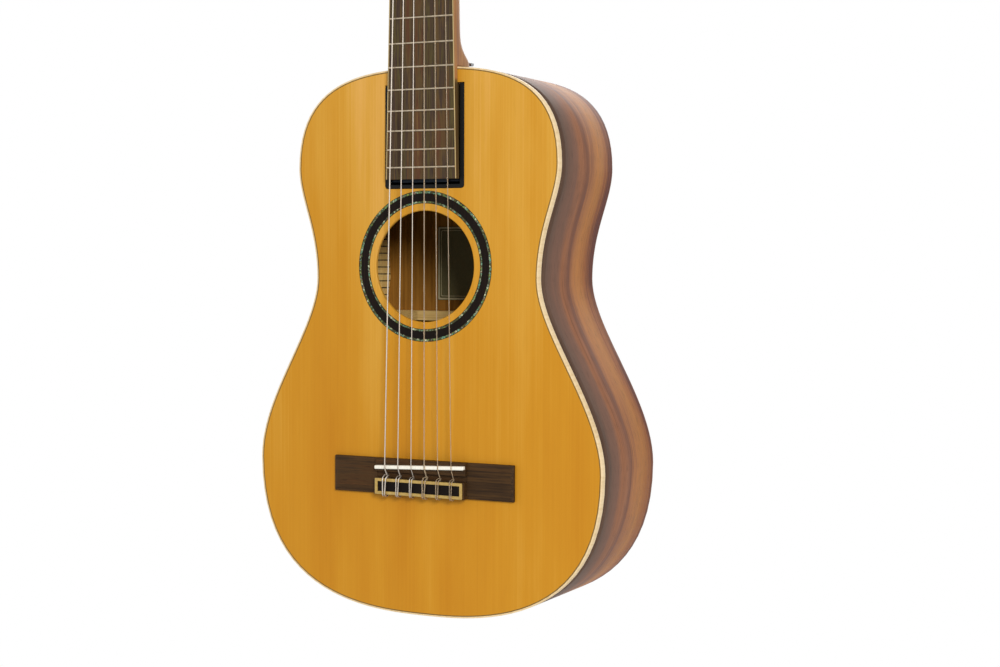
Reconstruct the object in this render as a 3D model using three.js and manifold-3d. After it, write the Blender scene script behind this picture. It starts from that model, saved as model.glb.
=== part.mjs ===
// Travel guitar: a small nylon-string guitar whose neck hooks over a bar in a pocket of the body,
// swings forward on it and is held by a sprung thumb latch behind the heel.
// Millimetres. +Z runs from the tail to the head, the soundboard faces -Y, the bass side is at -X.
// The origin is the centre of the flat end of the strap button, at half the body's depth.

import * as THREE from "three";
import { mergeVertices } from "three/addons/utils/BufferGeometryUtils.js";
import Module from "manifold-3d";

const wasm = await Module();
wasm.setup();

// Clearances
const seam = 0.3; // between pieces that are glued or screwed together
const runningGap = 0.35; // round pins, shafts and rollers
const overrun = 6; // how far a cutter passes the face that it opens

// Counts of flat sides on small round pieces and holes
const pinSides = 14;
const boreSides = 12;
const spindleSides = 10;
const stringHoleSides = 8;
const arcSteps = 8;

// Body outline, from the tail up to the shoulder
const bodyDepth = 106;
const lowerBoutHalf = 152.7;
const lowerBoutHeight = 119.1;
const waistHalf = 98.7;
const lowerBoutToWaist = 147.2;
const upperBoutHalf = 115.8;
const waistToUpperBout = 88.5;
const upperBoutToShoulder = 76.65;
const outlineHandleShares = {
  tail: 0.295,
  lowerBoutBelow: 1,
  lowerBoutAbove: 0.343,
  waistBelow: 0.269,
  waistAbove: 0.455,
  upperBoutBelow: 0.283,
  upperBoutAbove: 0.936,
  shoulder: 0.475,
};
const outlineSteps = [12, 8, 7, 11];

// Body plates and edges
const soundboardThickness = 2.6;
const backThickness = 3;
const sideThickness = 2.4;
const bindingWidth = 1.6;
const bindingHeight = 5;
const liningWidth = 6.5;
const liningHeight = 13;
const soundholeRadius = 43.7;
const soundholeSides = 36;

// Rosette, inlaid round the soundhole
const rosetteInnerRadius = 49.3;
const innerRingWidth = 1.7;
const rosetteBandWidth = 5.7;
const outerRingWidth = 1.9;
const rosetteDepth = 1.2;
const rosetteToPocket = 1.6;

// Blocks and braces inside the body
const neckBlockHalf = 50;
const neckBlockFootDrop = 4; // below the pocket's foot
const neckBlockShelfDepth = 30;
const neckBlockPostHeight = 36;
const tailBlockHalf = 34;
const tailBlockHeight = 16;
const braceWidth = 8;
const topBraceDepth = 13;
const backBraceDepth = 14;
const braceTaper = 34;
const braceEndDepth = 4;
const upperBraceDrop = 8.7; // below the pocket's foot
const fanBraceDrop = 10.2; // below the soundhole's edge
const fanStrutWidth = 5;
const fanStrutDepth = 5.5;
const fanStrutCount = 5;
const fanSpread = 104;
const fanFootSpread = 156;
const bridgePlateDepth = 2.6;
const bridgePlateMargin = 5;
const lowerBackBraceDrop = 11.9; // below the lower bout's widest place
const middleBackBraceDrop = 41.9; // below the soundhole's centre
const upperBackBraceDrop = 5.6; // below the upper bout's widest place
const labelWidth = 86;
const labelHeight = 62;
const labelThickness = 0.4;
const labelRise = 9; // above the middle back brace

// Bridge, saddle and tie block
const scaleLength = 622.3; // its middle, the twelfth fret, lies at the rim
const bridgeLength = 160.4;
const bridgeWidth = 28.5;
const bridgeFootDrop = 24.9; // below the end of the scale
const bridgeWingThickness = 4;
const bridgeCentreLength = 83;
const tieBlockWidth = 13.3;
const tieBlockThickness = 9;
const tieTrimThickness = 1;
const tieTrimLength = 76;
const tieTrimBar = 2.8;
const tieTrimEndBar = 2.6;
const channelWidth = 4.8;
const channelFloor = 3;
const saddleRidgeThickness = 6.6;
const saddleLength = 81;
const saddleThickness = 3;
const saddleTop = 9.8;
const saddleSlotFloor = 2.6;
const saddleDrop = 1.9; // below the end of the scale
const saddleSlant = 3.2; // how much higher its treble end stands than its bass end
const stringHoleHeight = 5.2;

// Neck pocket and hook in the body
const pocketHalf = 35.1;
const pocketHeadDrop = 14.1; // below the rim
const pocketWall = 3.6;
const pocketEndWall = 3;
const pocketDepth = 16.6;
const pocketFloor = 2;
const pocketRim = 0.3; // how far its rim stands above the soundboard
const pocketCorner = 2.6;
const hookBarRise = 6; // above the pocket's foot
const hookBarDepth = 5;
const hookBarRadius = 2;
const hookBarSeat = 2; // how far the bar's ends reach into the pocket's walls

// Neck
const neckLift = 0.5; // the neck's top plane stands this far above the soundboard
const nutHalfWidth = 22.25;
const boardHalfAtFoot = 30.5;
const boardThickness = 5.5;
const boardFootRise = 7; // above the pocket's foot
const lastFretMargin = 9.2; // between the board's foot and its last fret
const fretCount = 17;
const fretWidth = 2;
const fretCrown = 1.05;
const boardOverhang = 0.3; // how far the fretboard's edge stands out past the neck's
const neckDepthAtHeel = 17.2;
const neckDepthAtNut = 15.5;
const heelExtraDepth = 11.5;
const heelCrest = 3.3;
const heelReach = 8.4; // above its crest
const heelPower = 1.5; // how fast it thins into the shaft
const neckSectionSteps = 10;
const shaftRoundnessShare = 2.9;
const heelRoundnessShare = 3.2;
const heelStationShares = [0, 0.25, 0.5, 0.75, 1, 1.3, 1.7, 2.3, 3];
const tongueHalf = 28.4;
const tongueDepth = 13.5;
const tongueFootRise = 5.3; // above the hook bar
const nutWidth = 5;
const nutRise = 1; // how far the nut stands above the strings' centres
const nutSlotFall = 3; // how far the nut's slots fall towards the head
const nutCrestShare = 0.125; // where on the nut a string bends
const stringActionAtNut = 1.7; // strings' centres above the fretboard at the nut

// Hook plate and strike plate on the tongue
const hookHalf = 20;
const hookJaw = 4.8;
const hookLegThickness = 2.7;
const hookLegLength = 28;
const hookTip = 1.5; // how far its jaws reach past the bar's centre
const strikeHalf = 13;
const strikeThickness = 2;
const strikeFootMargin = 7.5; // below the latch's nose
const strikeHeadMargin = 2.5; // above the latch pin
const strikeCavityDepth = 7;
const strikeCavityMargin = 3.4;

// Latch lever, turning on a pin in the neck block
const latchPinDrop = 5.9; // below the rim
const latchPinDepth = 34;
const latchPinRadius = 1.5;
const latchPinReach = 16;
const leverHubRadius = 3.3;
const leverHalf = 6.4;
const leverArm = 13; // from the pin down to the lower side of the nose
const leverArmWidth = 4.4;
const noseThickness = 4;
const barbDrop = 2.6;
const barbLength = 2.9;
const barbRakeShare = 0.45;
const leverStemHalf = 1.8;
const thumbHalf = 21;
const thumbFoot = 9;
const thumbTop = 11.3;
const thumbFront = 2;
const thumbBack = 3;
const leverWell = 9;
const leverWellMargin = 3.9; // below the latch's barb
const leverWellBack = 44;
const rimOpeningFront = 5;
const rimOpeningBack = 9.5;

// Head
const headAngle = THREE.MathUtils.degToRad(15);
const headHalf = 34;
const headLength = 146;
const headThickness = 18;
const headplateThickness = 2;
const headplateSetback = 2; // from the head's foot, clear of the nut
const headShoulder = 24;
const headCrest = 5;
const slotInner = 7.5;
const slotOuter = 24.5;
const slotFoot = 12.5;
const slotHead = 128;

// Tuning machines
const rollerSpacing = 35;
const firstRoller = 45;
const rollerDepth = 7.5;
const rollerRadius = 5;
const rollerSeat = 5; // how far a roller reaches into the head's middle bar
const rollerSides = 12;
const spindleRadius = 2;
const tunerPlateThickness = 2;
const tunerPlateHalf = 6.5;
const tunerPlateMargin = 12;
const gearTeeth = 14;
const gearTipRadius = 6.35;
const gearRootRadius = 5;
const gearThickness = 2.2;
const toothTipWidth = 0.6;
const toothRootWidth = 1.15;
const wormCoreRadius = 1.5;
const wormTipRadius = 2.8;
const wormThreadRoot = 1.2;
const wormThreadTip = 0.6;
const wormHalfLength = 3.9;
const meshClearance = 0.35;
const wormSides = 9;
const wormStepsPerPitch = 5;
const lugThickness = 2;
const lugHalf = 2.8;
const lugReach = 2.9; // how far a lug reaches past the worm's axis
const shaftRadius = 1.5;
const shaftTail = 0.8;
const buttonGap = 2.5; // between the head's back and the button
const buttonLength = 15;
const buttonHalfWidth = 9;
const buttonThickness = 8;
const buttonSocketDepth = 4;
const buttonSides = 10;

// Strings, from the thin treble string 1 to the thick bass string 6
const stringDiameters = [0.72, 0.82, 1, 0.75, 0.9, 1.1];
const stringSpreadAtSaddle = 59.2;
const stringSpreadAtNut = 37;
const stringSides = 5;
const windingTurns = 3;
const windingSteps = 14;
const stringSelfGap = 0.6;
const stringLay = 0.35; // between a string and what it lies on
const windingStarts = [18.4, 15.5, 13.7]; // distances from the middle, nearest roller first

// Strap button at the tail
const strapButtonHeight = 8.8;
const strapButtonHeadRadius = 8;
const strapButtonWaistRadius = 4;
const strapButtonBaseRadius = 6.5;
const strapButtonHeadHeight = 2.2;
const strapButtonBaseHeight = 2.2;
const strapScrewRadius = 1.8;
const strapScrewLength = 15;
const strapButtonSides = 16;

// Places that follow from the sizes
const tailZ = strapButtonHeight;
const waistHeight = lowerBoutHeight + lowerBoutToWaist;
const upperBoutHeight = waistHeight + waistToUpperBout;
const bodyLength = upperBoutHeight + upperBoutToShoulder;
const pocketHead = bodyLength - pocketHeadDrop;
const scaleFoot = bodyLength - scaleLength / 2;
const fretHeight = (fret) => scaleFoot + scaleLength * 2 ** (-fret / 12);
const boardFoot = fretHeight(fretCount) - lastFretMargin;
const pocketFoot = boardFoot - boardFootRise;
const rosetteWidth = innerRingWidth + rosetteBandWidth + outerRingWidth + 3 * seam;
const soundholeHeight = pocketFoot - rosetteToPocket - rosetteInnerRadius - rosetteWidth;
const neckBlockFoot = pocketFoot - neckBlockFootDrop;
const upperBraceHeight = pocketFoot - upperBraceDrop;
const fanBraceHeight = soundholeHeight - soundholeRadius - fanBraceDrop;
const backBraceHeights = {
  lower: lowerBoutHeight - lowerBackBraceDrop,
  middle: soundholeHeight - middleBackBraceDrop,
  upper: upperBoutHeight - upperBackBraceDrop,
};
const labelBottom = backBraceHeights.middle + braceWidth / 2 + labelRise;
const bridgeBottom = scaleFoot - bridgeFootDrop;
const saddleHeight = scaleFoot - saddleDrop;
const hookBarHeight = pocketFoot + hookBarRise;
const tongueFoot = hookBarHeight + tongueFootRise;
const latchPinHeight = bodyLength - latchPinDrop;
const leverWellFoot = latchPinHeight - leverArm - barbDrop - leverWellMargin;
const strikeFoot = latchPinHeight - leverArm - strikeFootMargin;
const strikeHead = latchPinHeight + strikeHeadMargin;
const faceY = -bodyDepth / 2;
const backY = bodyDepth / 2;
const up = (height) => tailZ + height;
const deep = (depth) => faceY + depth;
const neckTopY = deep(-neckLift);
const rimTop = up(bodyLength);
const liningInset = sideThickness + seam;
const underTop = deep(soundboardThickness + seam);
const overBack = backY - backThickness - seam;
const nutZ = up(scaleFoot + scaleLength);
const boardTopY = neckTopY - boardThickness;
const headRoot = new THREE.Vector3(0, neckTopY, nutZ + seam + nutWidth + seam);
const boardTaper = (boardHalfAtFoot - nutHalfWidth) / (nutZ - up(boardFoot));
const boardHalfAt = (z) => nutHalfWidth + (nutZ - z) * boardTaper;
const slotHalf = tongueHalf + runningGap + seam;
const pinY = deep(latchPinDepth);
const pinZ = up(latchPinHeight);
const tunerPlateOuter = headHalf + seam + tunerPlateThickness;
const wormX = tunerPlateOuter + wormTipRadius + runningGap;
const wormOffset = gearTipRadius + wormCoreRadius + meshClearance;
const gearPitchRadius = (gearTipRadius + gearRootRadius + meshClearance) / 2 + meshClearance / 2;
const wormPitch = (2 * Math.PI * gearPitchRadius) / gearTeeth;
const tunerRows = [0, 1, 2]; // from the nut towards the head's crest
const rollerAt = (row) => firstRoller + row * rollerSpacing;
const isTreble = (i) => i < stringDiameters.length / 2;
const rowOf = (i) => (isTreble(i) ? i : stringDiameters.length - 1 - i);
const sideOf = (i) => (isTreble(i) ? 1 : -1);

// Finishes
const finish = (color, roughness, metalness = 0) =>
  new THREE.MeshStandardMaterial({ color, roughness, metalness });
const cedar = finish("#d7982e", 0.42);
const rosewoodSide = finish("#8a6248", 0.35);
const maple = finish("#e8d2a0", 0.4);
const spruce = finish("#d8b070", 0.7);
const mahogany = finish("#a5754a", 0.45);
const rosewood = finish("#4a3420", 0.5);
const ebony = finish("#241a14", 0.35);
const shell = finish("#6f9a86", 0.2, 0.1);
const bone = finish("#f4f0e2", 0.35);
const blackPlastic = finish("#0e1216", 0.35);
const nickel = finish("#c9c6bd", 0.25, 1);
const steel = finish("#8f9296", 0.35, 1);
const pearl = finish("#ebe6d8", 0.2);
const paper = finish("#e9e0c6", 0.9);
const boneTrim = finish("#d8b560", 0.4);
const silverWound = finish("#c4c1ba", 0.35, 1);
const nylon = finish("#e9e4d2", 0.25);

// Joining and cutting

function toSolid(geometry) {
  const bare = geometry.clone();
  bare.deleteAttribute("normal");
  bare.deleteAttribute("uv");
  const merged = mergeVertices(bare);
  return new wasm.Manifold(
    new wasm.Mesh({
      numProp: 3,
      vertProperties: merged.attributes.position.array,
      triVerts: new Uint32Array(merged.index.array),
    }),
  );
}

function toGeometry(solid) {
  const mesh = solid.getMesh();
  const geometry = new THREE.BufferGeometry();
  geometry.setAttribute("position", new THREE.BufferAttribute(mesh.vertProperties, 3));
  geometry.setIndex(new THREE.BufferAttribute(mesh.triVerts, 1));
  const faceted = geometry.toNonIndexed();
  faceted.computeVertexNormals();
  return faceted;
}

function join(...geometries) {
  return toGeometry(geometries.map(toSolid).reduce((whole, next) => whole.add(next)));
}

function cut(geometry, ...cutters) {
  return toGeometry(cutters.map(toSolid).reduce((whole, next) => whole.subtract(next), toSolid(geometry)));
}

function common(first, second) {
  return toGeometry(toSolid(first).intersect(toSolid(second)));
}

// Basic forms

function block([x0, x1], [y0, y1], [z0, z1]) {
  const box = new THREE.BoxGeometry(x1 - x0, y1 - y0, z1 - z0);
  return box.translate((x0 + x1) / 2, (y0 + y1) / 2, (z0 + z1) / 2);
}

// A flat plate: its outline is given as (x, z) and it fills y from low to high.
function plate(outline, low, high, ...holes) {
  const shape = new THREE.Shape(outline);
  shape.holes = holes.map((hole) => new THREE.Path(hole));
  const sheet = new THREE.ExtrudeGeometry(shape, { depth: high - low, bevelEnabled: false });
  return sheet.rotateX(Math.PI / 2).translate(0, high, 0);
}

// A bar whose section is given as (y, z) and which fills x from low to high.
function barAcross(section, low, high, ...holes) {
  const shape = new THREE.Shape(section);
  shape.holes = holes.map((hole) => new THREE.Path(hole));
  const bar = new THREE.ExtrudeGeometry(shape, { depth: high - low, bevelEnabled: false });
  const turn = new THREE.Matrix4().makeBasis(
    new THREE.Vector3(0, 1, 0),
    new THREE.Vector3(0, 0, 1),
    new THREE.Vector3(1, 0, 0),
  );
  return bar.applyMatrix4(turn).translate(low, 0, 0);
}

// A bar whose section is given as (x, y) and which fills z from low to high.
function barUpright(section, low, high) {
  const bar = new THREE.ExtrudeGeometry(new THREE.Shape(section), {
    depth: high - low,
    bevelEnabled: false,
  });
  return bar.translate(0, 0, low);
}

function rodAcross(radius, low, high, y, z, sides) {
  const rod = new THREE.CylinderGeometry(radius, radius, high - low, sides);
  return rod.rotateZ(Math.PI / 2).translate((low + high) / 2, y, z);
}

function rodUpright(radius, low, high, x, y, sides) {
  const rod = new THREE.CylinderGeometry(radius, radius, high - low, sides);
  return rod.rotateX(Math.PI / 2).translate(x, y, (low + high) / 2);
}

function rodDeep(radius, low, high, x, z, sides) {
  const rod = new THREE.CylinderGeometry(radius, radius, high - low, sides);
  return rod.translate(x, (low + high) / 2, z);
}

function circle(radius, centreX, centreY, sides) {
  return Array.from({ length: sides }, (_, i) => {
    const angle = (2 * Math.PI * i) / sides;
    return new THREE.Vector2(centreX + radius * Math.cos(angle), centreY + radius * Math.sin(angle));
  });
}

const points2 = (pairs) => pairs.map(([a, b]) => new THREE.Vector2(a, b));

// A solid through closed rings of equal count, each convex and counter-clockwise seen from its far end.
function loft(rings) {
  const count = rings[0].length;
  const position = rings.flat().flatMap((point) => [point.x, point.y, point.z]);
  const index = [];
  for (let ring = 0; ring < rings.length - 1; ring += 1) {
    for (let i = 0; i < count; i += 1) {
      const a = ring * count + i;
      const b = ring * count + ((i + 1) % count);
      index.push(a, b, b + count, a, b + count, a + count);
    }
  }
  const last = (rings.length - 1) * count;
  for (let i = 1; i < count - 1; i += 1) {
    index.push(0, i + 1, i);
    index.push(last, last + i, last + i + 1);
  }
  const geometry = new THREE.BufferGeometry();
  geometry.setAttribute("position", new THREE.Float32BufferAttribute(position, 3));
  geometry.setIndex(index);
  const faceted = geometry.toNonIndexed();
  faceted.computeVertexNormals();
  return faceted;
}

// Body outline: four cubic curves from the tail to the shoulder, mirrored at the middle.

function halfOutline() {
  const share = outlineHandleShares;
  const curves = [
    [
      [0, 0],
      [share.tail * lowerBoutHalf, 0],
      [lowerBoutHalf, lowerBoutHeight - share.lowerBoutBelow * lowerBoutHeight],
      [lowerBoutHalf, lowerBoutHeight],
    ],
    [
      [lowerBoutHalf, lowerBoutHeight],
      [lowerBoutHalf, lowerBoutHeight + share.lowerBoutAbove * lowerBoutToWaist],
      [waistHalf, waistHeight - share.waistBelow * lowerBoutToWaist],
      [waistHalf, waistHeight],
    ],
    [
      [waistHalf, waistHeight],
      [waistHalf, waistHeight + share.waistAbove * waistToUpperBout],
      [upperBoutHalf, upperBoutHeight - share.upperBoutBelow * waistToUpperBout],
      [upperBoutHalf, upperBoutHeight],
    ],
    [
      [upperBoutHalf, upperBoutHeight],
      [upperBoutHalf, upperBoutHeight + share.upperBoutAbove * upperBoutToShoulder],
      [share.shoulder * upperBoutHalf, bodyLength],
      [0, bodyLength],
    ],
  ];
  return curves.flatMap((handles, i) => {
    const curve = new THREE.CubicBezierCurve(...points2(handles));
    const along = curve.getPoints(outlineSteps[i]);
    return i === 0 ? along : along.slice(1);
  });
}

const rightHalf = halfOutline();

// The closed outline in (x, z), moved inwards by inset.
function outline(inset) {
  const moved = rightHalf.map((point, i) => {
    const before = rightHalf[Math.max(i - 1, 0)];
    const after = rightHalf[Math.min(i + 1, rightHalf.length - 1)];
    const along = after.clone().sub(before).normalize();
    if (i === 0 || i === rightHalf.length - 1) along.set(Math.sign(lowerBoutHeight - point.y), 0);
    return new THREE.Vector2(point.x - along.y * inset, up(point.y + along.x * inset));
  });
  const mirrored = moved.slice(1, -1).reverse();
  return [...moved, ...mirrored.map((point) => new THREE.Vector2(-point.x, point.y))];
}

// Half the body's inside width at a height, by the outline's own points.
function halfWidthAt(height, inset) {
  const ring = outline(inset);
  const z = up(height);
  for (let i = 0; i < rightHalf.length - 1; i += 1) {
    const low = ring[i];
    const high = ring[i + 1];
    if (low.y <= z && z <= high.y && high.y > low.y) {
      return low.x + ((high.x - low.x) * (z - low.y)) / (high.y - low.y);
    }
  }
  return waistHalf - inset;
}

// Cutters shared by the rim, the binding, the soundboard and the neck block

const tongueSlotDepth = tongueDepth + runningGap + seam;
const tongueSlot = () =>
  block(
    [-slotHalf, slotHalf],
    [deep(-overrun), deep(tongueSlotDepth)],
    [up(pocketHead) - seam, rimTop + overrun],
  );
const rimOpening = () =>
  block(
    [-leverHalf - runningGap, leverHalf + runningGap],
    [pinY - rimOpeningFront, pinY + rimOpeningBack],
    [pinZ, rimTop + overrun],
  );
const strapScrewHole = () =>
  rodUpright(
    strapScrewRadius + runningGap,
    tailZ - overrun,
    tailZ + tailBlockHeight + overrun,
    0,
    0,
    spindleSides,
  );

// Body shell

function makeSoundboard() {
  const hole = circle(soundholeRadius, 0, up(soundholeHeight), soundholeSides);
  const sheet = plate(outline(bindingWidth + seam), faceY, deep(soundboardThickness), hole);
  const groove = plate(
    circle(rosetteInnerRadius + rosetteWidth, 0, up(soundholeHeight), soundholeSides),
    deep(-overrun),
    deep(rosetteDepth + seam),
    circle(rosetteInnerRadius - seam, 0, up(soundholeHeight), soundholeSides),
  );
  return cut(sheet, groove, pocketCutter(deep(-overrun), deep(overrun)), tongueSlot());
}

function makeRosetteRing(innerRadius, width) {
  const ring = circle(innerRadius + width, 0, up(soundholeHeight), soundholeSides);
  return plate(ring, faceY, deep(rosetteDepth), circle(innerRadius, 0, up(soundholeHeight), soundholeSides));
}

function makeBinding() {
  return cut(plate(outline(0), faceY, deep(bindingHeight), outline(bindingWidth)), tongueSlot());
}

function makeSide(direction) {
  const hoop = plate(outline(0), deep(bindingHeight + seam), overBack, outline(sideThickness));
  const far = lowerBoutHalf + overrun;
  const across = direction > 0 ? [seam / 2, far] : [-far, -seam / 2];
  const half = common(hoop, block(across, [faceY, backY], [tailZ - overrun, rimTop + overrun]));
  return cut(half, tongueSlot(), rimOpening(), strapScrewHole());
}

function makeBack() {
  return plate(outline(0), backY - backThickness, backY);
}

function makeLining(low, high) {
  const strip = plate(outline(liningInset), low, high, outline(liningInset + liningWidth));
  const gap = neckBlockHalf + seam;
  return cut(strip, block([-gap, gap], [faceY, backY], [up(neckBlockFoot), rimTop]));
}

// Blocks and braces

function makeNeckBlock() {
  const top = rimTop - liningInset;
  const shelf = block(
    [-neckBlockHalf, neckBlockHalf],
    [underTop, deep(neckBlockShelfDepth)],
    [up(neckBlockFoot), top],
  );
  const post = block(
    [-neckBlockHalf, neckBlockHalf],
    [underTop, overBack],
    [top - neckBlockPostHeight, top],
  );
  const whole = common(join(shelf, post), plate(outline(liningInset), faceY, backY));
  const well = block([-leverWell, leverWell], [faceY, deep(leverWellBack)], [up(leverWellFoot), rimTop]);
  const pinBore = rodAcross(
    latchPinRadius + runningGap,
    -latchPinReach - runningGap,
    latchPinReach + runningGap,
    pinY,
    pinZ,
    boreSides,
  );
  return cut(whole, pocketCutter(faceY, deep(pocketDepth + seam)), tongueSlot(), well, pinBore);
}

function makeTailBlock(frontLining, backLining) {
  const body = block(
    [-tailBlockHalf, tailBlockHalf],
    [frontLining + seam, backLining - seam],
    [tailZ, tailZ + liningInset + tailBlockHeight],
  );
  return cut(common(body, plate(outline(liningInset), faceY, backY)), strapScrewHole());
}

// A brace across the body, deepest in the middle and tapering to thin ends.
function makeBrace(height, base, depth) {
  const half = halfWidthAt(height, liningInset + liningWidth) - braceWidth;
  const rise = Math.sign(depth);
  const section = points2([
    [-half, base],
    [-half, base + rise * braceEndDepth],
    [braceTaper - half, base + depth],
    [half - braceTaper, base + depth],
    [half, base + rise * braceEndDepth],
    [half, base],
  ]);
  return barUpright(section, up(height) - braceWidth / 2, up(height) + braceWidth / 2);
}

// The lower top brace with its fan of struts, one glued lattice above the bridge plate.
function makeFanBracing() {
  const foot = up(bridgeBottom + bridgeWidth + bridgePlateMargin) + seam;
  const head = up(fanBraceHeight);
  const struts = Array.from({ length: fanStrutCount }, (_, i) => {
    const share = i / (fanStrutCount - 1) - 0.5;
    const footX = share * fanFootSpread;
    const headX = share * fanSpread;
    const half = fanStrutWidth / 2;
    return plate(
      points2([
        [footX - half, foot],
        [footX + half, foot],
        [headX + half, head],
        [headX - half, head],
      ]),
      underTop,
      underTop + fanStrutDepth,
    );
  });
  return join(makeBrace(fanBraceHeight, underTop, topBraceDepth), ...struts);
}

function makeBridgePlate() {
  const half = bridgeLength / 2 + bridgePlateMargin;
  return block(
    [-half, half],
    [underTop, underTop + bridgePlateDepth],
    [up(bridgeBottom - bridgePlateMargin), up(bridgeBottom + bridgeWidth + bridgePlateMargin)],
  );
}

function makeLabel() {
  return block(
    [-labelWidth / 2, labelWidth / 2],
    [overBack - labelThickness, overBack],
    [up(labelBottom), up(labelBottom + labelHeight)],
  );
}

// Bridge

const saddleZ = (x) => up(saddleHeight) + (saddleSlant * x) / saddleLength;
const stringSaddleX = (i) => stringSpreadAtSaddle * (0.5 - i / (stringDiameters.length - 1));
const stringNutX = (i) => stringSpreadAtNut * (0.5 - i / (stringDiameters.length - 1));

function makeBridge() {
  const half = bridgeLength / 2;
  const centre = bridgeCentreLength / 2;
  const foot = up(bridgeBottom);
  const head = foot + bridgeWidth;
  const seat = faceY - seam;
  const wings = block([-half, half], [deep(-bridgeWingThickness), seat], [foot, head]);
  const tieBlock = block([-centre, centre], [deep(-tieBlockThickness), seat], [foot, foot + tieBlockWidth]);
  const ridge = block(
    [-centre, centre],
    [deep(-saddleRidgeThickness), seat],
    [foot + tieBlockWidth + channelWidth, head],
  );
  const channel = block(
    [-centre, centre],
    [deep(-tieBlockThickness - overrun), deep(-channelFloor)],
    [foot + tieBlockWidth, foot + tieBlockWidth + channelWidth],
  );
  const holes = stringDiameters.map((diameter, i) =>
    rodUpright(
      diameter / 2 + stringLay,
      foot - overrun,
      foot + tieBlockWidth + overrun / 2,
      stringSaddleX(i),
      deep(-stringHoleHeight),
      stringHoleSides,
    ),
  );
  return cut(
    join(wings, tieBlock, ridge),
    channel,
    saddleForm(saddleLength / 2 + seam, saddleThickness / 2 + seam, saddleSlotFloor, saddleTop + overrun),
    ...holes,
  );
}

// The saddle's slanted bar between two heights above the soundboard, also the cutter of its slot.
function saddleForm(halfLength, halfThickness, floor, top) {
  const corners = [
    [-halfLength, -halfThickness],
    [halfLength, -halfThickness],
    [halfLength, halfThickness],
    [-halfLength, halfThickness],
  ];
  return plate(
    corners.map(([x, side]) => new THREE.Vector2(x, saddleZ(x) + side)),
    deep(-top),
    deep(-floor),
  );
}

function makeTieTrim() {
  const half = tieTrimLength / 2;
  const foot = up(bridgeBottom) + seam;
  const head = up(bridgeBottom) + tieBlockWidth - seam;
  const frame = (x, rise) =>
    points2([
      [-half + x, foot + rise],
      [half - x, foot + rise],
      [half - x, head - rise],
      [-half + x, head - rise],
    ]);
  return plate(
    frame(0, 0),
    deep(-tieBlockThickness - tieTrimThickness),
    deep(-tieBlockThickness),
    frame(tieTrimEndBar, tieTrimBar),
  );
}

// Neck pocket

const pocketFootZ = up(pocketFoot);
const pocketHeadZ = up(pocketHead);

// The pocket's outer form with its rounded lower corners, grown by a clearance, as a cutter.
function pocketCutter(low, high) {
  return plate(pocketRing(pocketHalf + seam, pocketFootZ - seam, pocketHeadZ + seam), low, high);
}

function pocketRing(half, foot, head) {
  const corner = pocketCorner;
  const chamfer = corner * (1 - Math.SQRT1_2);
  return points2([
    [-half + corner, foot],
    [half - corner, foot],
    [half - chamfer, foot + chamfer],
    [half, foot + corner],
    [half, head - corner],
    [half - chamfer, head - chamfer],
    [half - corner, head],
    [-half + corner, head],
    [-half + chamfer, head - chamfer],
    [-half, head - corner],
    [-half, foot + corner],
    [-half + chamfer, foot + chamfer],
  ]);
}

function makePocketFrame() {
  const solid = plate(pocketRing(pocketHalf, pocketFootZ, pocketHeadZ), deep(-pocketRim), deep(pocketDepth));
  const inner = pocketHalf - pocketWall;
  const room = block(
    [-inner, inner],
    [deep(-overrun), deep(pocketDepth - pocketFloor)],
    [pocketFootZ + pocketEndWall, pocketHeadZ + overrun],
  );
  const leverDoor = block(
    [-leverWell, leverWell],
    [faceY, deep(pocketDepth + overrun)],
    [up(leverWellFoot), pocketHeadZ + overrun],
  );
  const barHole = rodAcross(
    hookBarRadius + seam,
    -inner - hookBarSeat - seam,
    inner + hookBarSeat + seam,
    deep(hookBarDepth),
    up(hookBarHeight),
    pinSides,
  );
  return cut(solid, room, leverDoor, barHole);
}

function makeHookBar() {
  const half = pocketHalf - pocketWall + hookBarSeat;
  return rodAcross(hookBarRadius, -half, half, deep(hookBarDepth), up(hookBarHeight), pinSides);
}

// Latch lever: hub, arm, nose with its barb, stem and thumb piece; the section is given as (y, z).

function makeLatchLever() {
  const noseTip = latchPinDepth - (tongueDepth - strikeThickness - runningGap - barbLength);
  const barbBack = noseTip - barbLength;
  const arm = points2([
    [-leverHubRadius, 0],
    [-leverArmWidth, -leverHubRadius],
    [-leverArmWidth, noseThickness - leverArm],
    [-noseTip, noseThickness - leverArm],
    [-noseTip, -leverArm - barbDrop],
    [-barbBack - barbDrop * barbRakeShare, -leverArm - barbDrop],
    [-barbBack, -leverArm],
    [0, -leverArm],
    [0, 0],
  ]);
  const stem = points2([
    [-leverStemHalf, 0],
    [leverStemHalf, 0],
    [leverStemHalf, thumbFoot + seam],
    [-leverStemHalf, thumbFoot + seam],
  ]);
  const thumb = points2([
    [-thumbFront, thumbFoot],
    [thumbBack - thumbFront / 2, thumbFoot],
    [thumbBack, thumbFoot + thumbFront / 2],
    [thumbBack, thumbTop],
    [-thumbFront / 2, thumbTop],
    [-thumbFront, thumbTop - thumbFront],
  ]);
  const lever = join(
    rodAcross(leverHubRadius, -leverHalf, leverHalf, 0, 0, pinSides),
    barAcross(arm, -leverHalf, leverHalf),
    barAcross(stem, -leverHalf, leverHalf),
    barAcross(thumb, -thumbHalf, thumbHalf),
  );
  const far = leverHalf + overrun;
  const bored = cut(lever, rodAcross(latchPinRadius + runningGap, -far, far, 0, 0, boreSides));
  return bored.translate(0, pinY, pinZ);
}

function makeLatchPin() {
  return rodAcross(latchPinRadius, -latchPinReach, latchPinReach, pinY, pinZ, boreSides);
}

// Strap button with its screw, turned about the body's middle line.

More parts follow.
